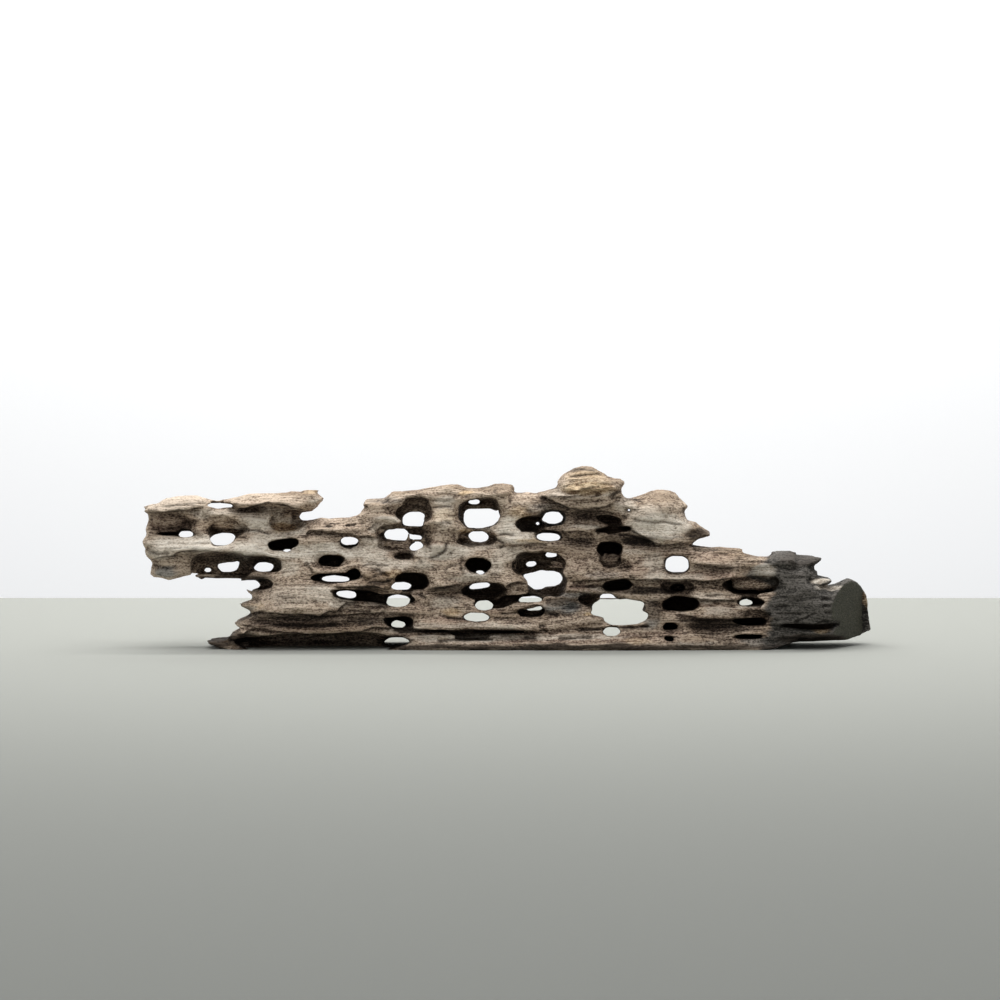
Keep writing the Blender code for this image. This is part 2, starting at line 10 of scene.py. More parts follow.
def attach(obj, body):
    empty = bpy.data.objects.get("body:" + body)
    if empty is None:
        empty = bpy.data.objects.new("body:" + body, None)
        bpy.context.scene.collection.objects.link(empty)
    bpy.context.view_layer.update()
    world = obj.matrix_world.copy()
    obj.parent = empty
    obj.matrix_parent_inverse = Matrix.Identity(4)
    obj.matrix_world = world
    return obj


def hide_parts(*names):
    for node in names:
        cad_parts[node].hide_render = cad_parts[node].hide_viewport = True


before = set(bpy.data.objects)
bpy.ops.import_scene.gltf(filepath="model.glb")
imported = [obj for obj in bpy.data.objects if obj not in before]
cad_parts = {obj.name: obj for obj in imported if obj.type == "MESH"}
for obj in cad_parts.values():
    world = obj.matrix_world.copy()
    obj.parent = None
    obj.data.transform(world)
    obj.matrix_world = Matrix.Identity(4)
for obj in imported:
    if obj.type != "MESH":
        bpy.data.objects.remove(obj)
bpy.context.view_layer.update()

MM = 0.001

# The room: a pale floor that ends behind the wood, a white wall behind it, and a wide soft light overhead.
# The camera stands far off, a little above the wood and level with its middle, as for a long lens.

MIDDLE_X = -0.0003  # where the drawing's origin lies in the part's frame
MIDDLE_Y = -0.0018


def linear(colour):
    """An sRGB hex colour as the linear values that a shader takes."""
    channels = [int(colour[i : i + 2], 16) / 255 for i in (1, 3, 5)]
    return [c / 12.92 if c <= 0.04045 else ((c + 0.055) / 1.055) ** 2.4 for c in channels] + [1]


def add_node(tree, kind, inputs=None, **settings):
    """Adds a shader node with its settings. An input is a value or another node's output."""
    node = tree.nodes.new("ShaderNode" + kind)
    for name, value in settings.items():
        setattr(node, name, value)
    for name, value in (inputs or {}).items():
        if isinstance(value, bpy.types.NodeSocket):
            tree.links.new(value, node.inputs[name])
        else:
            node.inputs[name].default_value = value
    return node


def plain_paint(name, colour):
    """Matt studio paint, rolled on: one even colour with no shine."""
    paint = bpy.data.materials.new(name)
    paint.use_nodes = True
    shader = paint.node_tree.nodes["Principled BSDF"]
    shader.inputs["Base Color"].default_value = linear(colour)
    shader.inputs["Roughness"].default_value = 0.95
    shader.inputs["Specular IOR Level"].default_value = 0.1
    return paint


def stage_sheet(name, width, depth, move, paint):
    """A flat sheet of the room, moved to its place."""
    bm = bmesh.new()
    bmesh.ops.create_grid(bm, x_segments=1, y_segments=1, size=0.5)
    bmesh.ops.scale(bm, vec=(width, depth, 1), verts=bm.verts)
    bmesh.ops.transform(bm, matrix=move, verts=bm.verts)
    mesh = bpy.data.meshes.new(name)
    bm.to_mesh(mesh)
    bm.free()
    mesh.materials.append(paint)
    sheet = bpy.data.objects.new(name, mesh)
    bpy.context.scene.collection.objects.link(sheet)


FLOOR_BACK = 0.62  # the floor's far edge, which makes the horizon
FLOOR_SIZE = 6.0
WALL_Y = FLOOR_BACK + 0.9
WALL_WIDTH = 9
WALL_HEIGHT = 6
floor_paint = plain_paint("floor_paint", "#a0a19b")
wall_paint = plain_paint("backdrop_paint", "#ffffff")
floor_move = Matrix.Translation((0, FLOOR_BACK - FLOOR_SIZE / 2, 0))
wall_move = Matrix.Translation((0, WALL_Y, 1.5)) @ Matrix.Rotation(math.radians(90), 4, "X")
stage_sheet("floor", FLOOR_SIZE, FLOOR_SIZE, floor_move, floor_paint)
stage_sheet("backdrop", WALL_WIDTH, WALL_HEIGHT, wall_move, wall_paint)

# The wall is clear where it is seen from behind, so that it never hides the wood.
wall_tree = wall_paint.node_tree
behind_wall = add_node(wall_tree, "NewGeometry").outputs["Backfacing"]
painted = wall_tree.nodes["Principled BSDF"].outputs["BSDF"]
clear = add_node(wall_tree, "BsdfTransparent").outputs["BSDF"]
one_sided = add_node(wall_tree, "MixShader", {0: behind_wall, 1: painted, 2: clear})
wall_tree.links.new(one_sided.outputs["Shader"], wall_tree.nodes["Material Output"].inputs["Surface"])

world = bpy.data.worlds.new("studio_air")
bpy.context.scene.world = world
world.use_nodes = True
air = world.node_tree.nodes["Background"].inputs
air["Color"].default_value = linear("#f4f7fa")
air["Strength"].default_value = 0.42


def soft_light(name, place, aim, width, depth, watts):
    """A wide lamp that points at its aim."""
    light = bpy.data.lights.new(name, "AREA")
    light.shape = "RECTANGLE"
    light.size = width
    light.size_y = depth
    light.energy = watts
    lamp = bpy.data.objects.new(name, light)
    bpy.context.scene.collection.objects.link(lamp)
    lamp.location = place
    lamp.rotation_euler = (Vector(aim) - Vector(place)).to_track_quat("-Z", "Y").to_euler()


soft_light("top_light", (0, -0.3, 1.4), (0, 0, 0), 1.6, 0.9, 14.5)
soft_light("front_light", (-0.4, -2.4, 1.8), (0, 0, 0.08), 1.6, 1.0, 12)
soft_light("wall_light", (0, 0.7, 1.9), (0, WALL_Y, 0.3), 3.0, 0.4, 47)

LENS_LENGTH = 168.4
CAMERA_FALL = 3.06  # how far the camera looks down, in degrees
lens = bpy.data.cameras.new("camera")
lens.lens = LENS_LENGTH
lens.sensor_width = 36
camera = bpy.data.objects.new("camera", lens)
bpy.context.scene.collection.objects.link(camera)
camera.location = (MIDDLE_X - 0.0076, MIDDLE_Y - 4.440, 0.377)
camera.rotation_euler = (math.radians(90 - CAMERA_FALL), 0, 0)
bpy.context.scene.camera = camera
bpy.context.scene.view_settings.view_transform = "Standard"

# The wood: one weathered slab, bored through by shipworms before it was found, then dried.
# Its shape starts from the solid part; the borings, broken fibres, ledges, cracks and grain are cut
# finer here than the solid has them.

# The borings spread a little and fall towards the back, away from this point.
FAN_POINT = Vector((-7.6, -4440.0, 377.0))
FACE = 31.0  # the drawing's front face lies this far in front of the middle, in millimetres
BORE_START = -75  # every boring is cut from here, well in front of the face
BORE_END = 85  # and those that light shines through, to here
BORE_ROOM = 0.8  # the skin swells as it is meshed, so the shapes of the light are cut this much wider

# Mouths in the front face: name, x, z, width, height, depth, turn in degrees.
MOUTHS = [
    ("arm_channel", -336, 117, 80, 20, 22, 0),
    ("arm_channel_floor", -316, 107, 38, 3.6, 46, 0),
    ("arm_eye_roof", -266, 112, 37, 14, 26, 4),
    ("arm_pocket", -209, 119.5, 34, 17, 26, 4),
    ("arm_oval", -213.5, 97.3, 28.5, 11.5, 46, 8),
    ("arm_hollow", -270, 77, 62, 27, 46, -2),
    ("arm_hollow_right", -234, 78.5, 38, 15, 40, -6),
    ("root_notch", -234, 59.5, 20, 11, 34, 0),
    ("base_hollow", -182, 4, 152, 17, 34, 0.5),
    ("left_slot", -151.5, 99, 18.5, 10.5, 40, 0),
    ("brown_socket", -168, 81.6, 24, 11.5, 40, 0),
    ("socket_slit", -165, 66.4, 44, 8, 40, 2),
    ("socket_slit_end", -146.5, 69.2, 13, 11, 40, 20),
    ("under_burl", -140, 48, 54, 8, 36, -8),
    ("square_pocket", -91.5, 62.7, 32, 16, 44, 0),
    ("left_gravel_hole", -107, 45, 41, 10, 38, 0),
    ("low_oval", -103.7, 24, 28.5, 9, 42, 0),
    ("stepped_recess", -104, 108, 44, 18, 29, 0),
    ("stepped_recess_floor", -104, 96, 41, 12, 17, 0),
    ("dimple", -99, 85.6, 20, 7, 24, 3),
    ("upper_window_roof", -87, 130, 30, 23, 27, 0),
    ("upper_window_slit", -103, 127, 8, 11, 30, 0),
    ("big_window", -28, 127, 41, 29, 40, 0),
    ("funnel", -30, 102, 38, 14, 22, 0),
    ("ring_hole", -29, 77.7, 25, 14, 48, 0),
    ("slit_basin", -23.5, 53.5, 42, 14, 42, 2),
    ("middle_slot", -15, 40, 35, 8, 38, 1),
    ("low_slot", -30, 28, 27, 8, 46, 0),
    ("upper_eye_left", 22, 118, 28, 13, 42, 10),
    ("upper_eye_right", 42, 122.5, 26, 15, 42, 0),
    ("upper_eye_sliver", 39, 105, 26, 9, 38, 4),
    ("great_window_roof", 30, 78.5, 50, 24, 44, 0),
    ("great_window", 38, 61, 36, 28, 44, 0),
    ("great_window_lip", 10, 77, 14, 12, 20, 20),
    ("plank_slit", 12, 46.4, 44, 6, 38, 3),
    ("shell_hole", 22, 33.2, 26, 10.6, 36, 6),
    ("knob_channel_end", 96, 121, 24, 8, 30, -4),
    ("ribbed_pocket", 102, 111.5, 34, 6, 26, 4),
    ("upper_socket", 97, 93.5, 26, 13, 50, 0),
    ("upper_socket_ball", 98, 82, 20, 15, 26, 0),
    ("dark_slot", 104.5, 58.5, 29, 10.5, 50, 2),
    ("square_window", 160.5, 78, 24, 16.4, 40, 0),
    ("eye_rim", 162, 56.5, 33, 12, 12, 0),
    ("eye", 161.5, 56, 15, 7.5, 50, 0),
    ("gravel_window_roof", 92, 44, 54, 9, 40, -4),
    ("great_oval", 164.5, 40.7, 36, 14.5, 52, 0),
    ("small_slot", 154.5, 19, 15.5, 7, 40, 0),
    ("base_eye", 153.5, 7.2, 10, 5, 26, 0),
    ("long_oval", 233, 58.5, 51, 17.5, 34, 2),
    ("long_oval_end", 254, 62, 9, 9, 50, 0),
    ("right_slit", 231, 42.2, 28, 5.5, 42, 0),
    ("right_slot", 231, 23.8, 33, 7, 42, 0),
    ("right_base_slot", 229, 9.3, 29, 5, 32, 0),
    ("charred_channel", 284, 19, 56, 5.5, 12, -2),
    ("charred_channel_end", 306, 20, 30, 4, 9, 6),
    ("base_band", -36, 14.3, 146, 3.2, 18, -0.5),
]

# The same borings where light shows through them, each with the shape that it has from the front.
WINDOWS = {
    "arm_slit": [(-290.5, 134.6), (-284, 135.4), (-271, 135.6), (-260.5, 135), (-262, 133.4), (-275, 133)],
    "arm_channel": [(-313.5, 105), (-310, 108.6), (-304, 109.4), (-299.5, 107.6), (-300, 105.6),
        (-306, 104.6)],
    "arm_eye": [(-283.7, 102.5), (-280, 105.4), (-272, 107.6), (-262, 107), (-259, 104.4), (-262, 102),
        (-265, 98.4), (-270, 97), (-279, 97.2)],
    "arm_oval": [(-213, 91.2), (-207, 93), (-206.8, 91.4), (-211, 90.4)],
    "arm_hollow_a": [(-289, 72.4), (-287.4, 74.4), (-283, 74.6), (-282.2, 72), (-285.5, 71.7)],
    "arm_hollow_b": [(-276.5, 78.6), (-268, 79), (-261, 79.6), (-257, 81), (-255, 80.6), (-257, 78),
        (-258, 73.6), (-263, 72), (-272, 72), (-274.5, 75)],
    "arm_hollow_c": [(-242, 74.5), (-238, 79), (-230, 79.8), (-224, 77.5), (-225.5, 72.6), (-236, 71.6)],
    "left_slot": [(-159, 99.4), (-156, 102.6), (-147, 103.4), (-142, 101.4), (-144.5, 98.2), (-154.5, 97.4)],
    "socket_slit": [(-180, 64.6), (-172, 66.6), (-156, 66.2), (-148.4, 64.2), (-155, 62.6), (-172, 62.4)],
    "under_burl": [(-163.6, 52.3), (-155, 52.8), (-146, 50.4), (-144, 47.6), (-150, 46.4), (-158, 48.4)],
    "upper_window": [(-99.7, 116.5), (-99.5, 124), (-94, 127.5), (-84, 127.8), (-79, 125.4), (-82, 120.5),
        (-80.6, 115.2), (-90, 114.8)],
    "recess_a": [(-118, 107.6), (-114, 110.8), (-108, 111), (-102, 112.8), (-97, 110.5), (-94.2, 105.8),
        (-97, 101.6), (-110, 102.2)],
    "recess_b": [(-95.4, 103.8), (-92.6, 106.6), (-88, 105), (-82.5, 105), (-81.6, 102.9), (-88, 102.3)],
    "recess_c": [(-93.8, 93.6), (-90.6, 97.6), (-84, 98.8), (-80, 96.4), (-84, 93.4), (-91, 91.6)],
    "square_pocket": [(-112, 56.5), (-107, 60.6), (-98, 61), (-91.7, 58.4), (-95, 55), (-107, 54.8)],
    "left_gravel_hole": [(-115.6, 42), (-112, 47), (-104, 48.6), (-96, 47), (-94, 42), (-98, 39),
        (-106, 38.3), (-113, 39.3)],
    "low_oval": [(-111.5, 21), (-106, 22.8), (-99, 22.5), (-97.6, 20), (-103, 19.2), (-110, 19.4)],
    "base_gap": [(-119, 4), (-112, 8), (-100, 8), (-93, 5), (-97, 2), (-112, 1.8)],
    "big_window": [(-41, 128), (-38, 130.5), (-17, 131), (-13, 129), (-7.5, 124.5), (-11, 120), (-15, 116),
        (-25, 113.6), (-38, 114), (-41.5, 119)],
    "big_window_slit": [(-39.6, 137.6), (-36, 138.8), (-28, 138.8), (-25.6, 138), (-29, 137.2), (-37, 137)],
    "funnel": [(-37.9, 106), (-34, 109.2), (-23, 109), (-18.5, 105.5), (-20, 101.5), (-26, 100), (-34, 101)],
    "ring_hole": [(-32, 71), (-29, 72), (-24, 71.8), (-22.6, 70.6), (-27, 69.8)],
    "slit_basin": [(-37.6, 56), (-33, 58.8), (-22, 60.6), (-17, 60), (-18, 57.6), (-26, 56.2), (-35, 55.2)],
    "middle_slot": [(-31.5, 39), (-28, 43), (-19, 43.5), (-14, 40), (-16, 36), (-22, 35), (-29, 36)],
    "low_slot": [(-42.5, 29), (-36, 31.7), (-24, 31), (-17, 28), (-21, 25), (-31, 24.3), (-40, 26)],
    "upper_eye": [(34, 122), (35.5, 126), (40, 128), (47, 127.6), (52, 124), (51, 120), (45, 117.7),
        (38.6, 118), (35.4, 119.6)],
    "upper_eye_bead": [(26, 117), (27.4, 118.6), (29.6, 118.2), (30, 116.8), (28, 116)],
    "upper_eye_sliver": [(27.2, 106), (34, 107.8), (44, 107.2), (49.8, 105), (48, 102), (41, 100.9),
        (32, 101.9), (28, 103.5)],
    "great_window_slit": [(35.2, 86.8), (38, 88.4), (45, 88.2), (47, 86.7), (43, 85.8), (37, 85.9)],
    "great_window_bead": [(16.8, 78.5), (20, 80.4), (26, 80.1), (27.2, 78), (23, 77), (18, 77.2)],
    "great_window": [(15, 67.5), (19, 62), (23, 60), (24, 55), (32, 55.5), (36, 58.5), (48, 60), (50.5, 63),
        (50, 68), (44, 71.3), (35, 71), (15, 68.5)],
    "plank_slit": [(9.5, 44), (14, 46.9), (24, 47.3), (33.7, 45), (30, 43.2), (20, 42.9), (12, 43)],
    "shell_hole": [(16, 36.4), (21, 38.6), (29, 38.7), (33.8, 36.8), (30, 35.3), (20, 35)],
    "square_window": [(150.2, 77), (151.2, 83.2), (156, 85.6), (166, 85.4), (170.8, 82.4), (171.2, 75.2),
        (167.4, 71.9), (156, 71.6), (151, 73.6)],
    "gravel_window_slit": [(87.4, 47.8), (90, 49.5), (98, 49.5), (101.6, 47.8), (98, 46.8), (90, 46.8)],
    "gravel_window": [(78.8, 33), (84, 36), (82, 41), (88, 43.8), (100, 44.2), (118, 42.9), (132, 42),
        (126, 39), (124.5, 35), (133.5, 31), (131.5, 26), (123, 22), (110, 20.8), (98, 21.5), (90, 25),
        (101, 26.5), (103, 28.6), (90, 28.5), (80, 31)],
    "gravel_gap": [(90, 14), (94, 17.6), (104, 17.4), (107.4, 14), (103, 10.8), (94, 10.4)],
    "pinhole": [(113.4, 130), (115, 131.6), (116.6, 130), (115, 128.4)],
    "right_slit": [(219.8, 41.5), (224, 43.2), (232, 43), (233.2, 41), (227, 39.8), (221, 40)],
}


def fanned(x, y, z):
    """A point of the drawing at depth y, moved away from the fan point as the borings spread, in metres."""
    spread = (y - FAN_POINT.y) / -FAN_POINT.y
    x = FAN_POINT.x + (x - FAN_POINT.x) * spread
    z = FAN_POINT.z + (z - FAN_POINT.z) * spread
    return Vector((x * MM + MIDDLE_X, y * MM + MIDDLE_Y, z * MM))


def bored_mouth(bm, x, z, width, height, depth, turn, seed):
    """A blind boring: an egg with a wandering, rather square section, from in front of the face."""
    made = bmesh.ops.create_uvsphere(bm, u_segments=28, v_segments=14, radius=1)
    middle = (BORE_START + depth - FACE) / 2
    half_run = (depth - FACE - BORE_START) / 2
    tilt = math.radians(turn)
    for vert in made["verts"]:
        radius = math.hypot(vert.co.x, vert.co.y)
        angle = math.atan2(vert.co.y, vert.co.x)
        around = Vector((math.cos(angle) * 1.1, math.sin(angle) * 1.1, seed * 7.3 + vert.co.z * 0.8))
        reach = radius**0.32 * (1 + 0.26 * noise.noise(around)) if radius > 1e-6 else 0
        across = math.copysign(abs(math.cos(angle)) ** 0.8, math.cos(angle)) * reach * width / 2
        up = math.copysign(abs(math.sin(angle)) ** 0.8, math.sin(angle)) * reach * height / 2
        side = x + across * math.cos(tilt) - up * math.sin(tilt)
        level = z + across * math.sin(tilt) + up * math.cos(tilt)
        vert.co = fanned(side, middle + vert.co.z * half_run, level)


def grown(outline, by):
    """The outline moved outwards by a distance, at right angles to its sides."""
    turns = sum(x0 * z1 - x1 * z0 for (x0, z0), (x1, z1) in zip(outline, outline[1:] + outline[:1]))
    out = math.copysign(by, turns)
    moved = []
    for before, (x, z), after in zip(outline[-1:] + outline[:-1], outline, outline[1:] + outline[:1]):
        side_before = Vector((x - before[0], z - before[1])).normalized()
        side_after = Vector((after[0] - x, after[1] - z)).normalized()
        run = (side_before + side_after).normalized()
        moved.append((x + run.y * out, z - run.x * out))
    return moved


def bored_window(bm, outline):
    """The stretch of a boring that goes right through: its outline, extruded along the boring."""
    shape = grown(outline, BORE_ROOM)
    front, back = ([bm.verts.new(fanned(x, y, z)) for x, z in shape] for y in (BORE_START, BORE_END))
    bm.faces.new(front)
    bm.faces.new(back)
    for i in range(len(shape)):
        bm.faces.new((front[i - 1], front[i], back[i], back[i - 1]))


def applied(obj):
    """The object's mesh with its modifiers applied, in the object's place."""
    bpy.context.view_layer.update()
    mesh = bpy.data.meshes.new_from_object(obj.evaluated_get(bpy.context.evaluated_depsgraph_get()))
    obj.modifiers.clear()
    obj.data = mesh
    return obj


def voxel_skin(obj, size):
    """Meshes the object again as one even skin."""
    skin = obj.modifiers.new("skin", "REMESH")
    skin.mode = "VOXEL"
    skin.voxel_size = size
    return applied(obj)


def linked(name, bm):
    """A new object with the mesh."""
    mesh = bpy.data.meshes.new(name)
    bm.to_mesh(mesh)
    bm.free()
    obj = bpy.data.objects.new(name, mesh)
    bpy.context.scene.collection.objects.link(obj)
    return obj


# How finely the borings, the bored wood and its worn faces are meshed, and how many triangles are left.
BORE_MESH = 1.2 * MM
ROUGH_MESH = 1.1 * MM
FINE_MESH = 0.92 * MM
TRIANGLES = 196000

# Bars, inner logs and broken splinters: the two ends, the thickness at each, and the depth behind the face.
BARS = [
    ((82, 45.7), (106, 45.4), 2.2, 2.2, 8), ((-238, 125), (-205, 123), 34, 26, 33),
    ((-338, 122.5), (-306, 121.5), 20, 18, 24), ((-287, 117.5), (-248, 117), 12, 12, 16),
    ((-122, 113.7), (-74, 113.2), 3.2, 3.2, 24), ((-95.2, 98), (-94.2, 108), 3, 2.6, 22),
    ((-97, 100.6), (-76, 100.9), 2.6, 2.6, 22), ((-44, 133.8), (-10, 133.4), 4.2, 4.6, 36),
    ((38, 75.4), (58, 77.2), 2.2, 3.4, 14), ((40, 79.8), (59, 80.4), 4.4, 5, 18),
    ((213, 60.2), (258, 60.8), 14, 13, 14), ((90, 82), (105, 81.5), 14, 14, 18),
    ((-128, 107), (-116, 112), 5, 2, 12), ((-50, 105), (-37, 103), 6, 3, 14),
    ((-298, 67.4), (-238, 65.6), 4.4, 4, 18), ((180, 110.6), (192.6, 110.2), 3, 0.8, 20),
    ((181, 106), (190.5, 104.4), 3, 0.8, 17), ((-16, 150.3), (6, 150.2), 7, 6.5, 26),
    ((-334, 135), (-349, 132.5), 4, 1.2, 28), ((-250, 55), (-243, 50), 1.2, 4, 16),
    ((-258, 41), (-240, 39), 1.2, 5, 10), ((-262, 23.2), (-236, 23), 1.4, 6, 8),
    ((-289, 5.6), (-262, 6.4), 1.2, 2.4, 12), ((-272, 1.4), (-246, 2.2), 1.4, 4, 8),
    ((100, 157.5), (113, 156.5), 4, 1.2, 26), ((182, 107.5), (193, 108), 4, 1.2, 22),
    ((284, 83.6), (299, 84.6), 4, 1.2, 24), ((290, 71), (295.5, 71.8), 3, 1.2, 28),
    ((290, 62.8), (307, 62.6), 6, 2.4, 12), ((-67, 3.2), (-50, 3.4), 2.6, 5, 2),
    ((212, 34.3), (223, 34.2), 4.5, 1.4, 1), ((8, 34.6), (42, 41.8), 2.4, 3, 4),
    ((-200, 142.6), (-174.6, 141.2), 8, 2.4, 26), ((-196, 147), (-179, 148.6), 4, 2, 22),
    ((250, 88.6), (274.5, 88.6), 5, 4.6, 24), ((205, 91.4), (223.5, 92), 4, 3, 20),
]


def add_bar(bm, start, end, thick, thin, depth, seed):
    """A bar of wood between two points of the drawing, bumpy, and blunt where it is thick."""
    made = bmesh.ops.create_uvsphere(bm, u_segments=16, v_segments=20, radius=1)
    run = Vector(end) - Vector(start)
    across = Vector((-run.y, run.x)).normalized()
    for vert in made["verts"]:
        share = 0.5 + vert.co.z / 2
        radius = math.hypot(vert.co.x, vert.co.y)
        angle = math.atan2(vert.co.y, vert.co.x)
        half = (thick + (thin - thick) * share) / 2
        half *= radius**0.35 * (1 + 0.3 * noise.noise(Vector((vert.co.z * 2, math.cos(angle), seed * 3.1))))
        spot = Vector(start) + run * share + across * (math.cos(angle) * half)
        vert.co = fanned(spot.x, depth - FACE + math.sin(angle) * half * 1.3, spot.y)


borings = bmesh.new()
for number, (name, *shape) in enumerate(MOUTHS):
    bored_mouth(borings, *shape, number)
for outline in WINDOWS.values():
    bored_window(borings, outline)
bmesh.ops.recalc_face_normals(borings, faces=borings.faces)
borings = voxel_skin(linked("borings", borings), BORE_MESH)

solid = bmesh.new()
solid.from_mesh(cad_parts["honeycomb_wood"].data)
bmesh.ops.remove_doubles(solid, verts=solid.verts, dist=1e-6)
wood = linked("weathered_wood", solid)

cut = wood.modifiers.new("borings", "BOOLEAN")
cut.operation = "DIFFERENCE"
cut.solver = "MANIFOLD"
cut.object = borings
applied(wood)
bpy.data.objects.remove(borings)

bars = bmesh.new()
for number, bar in enumerate(BARS):
    add_bar(bars, *bar, number)
bmesh.ops.recalc_face_normals(bars, faces=bars.faces)
bars.from_mesh(wood.data)
bars.to_mesh(wood.data)
bars.free()
voxel_skin(wood, ROUGH_MESH)

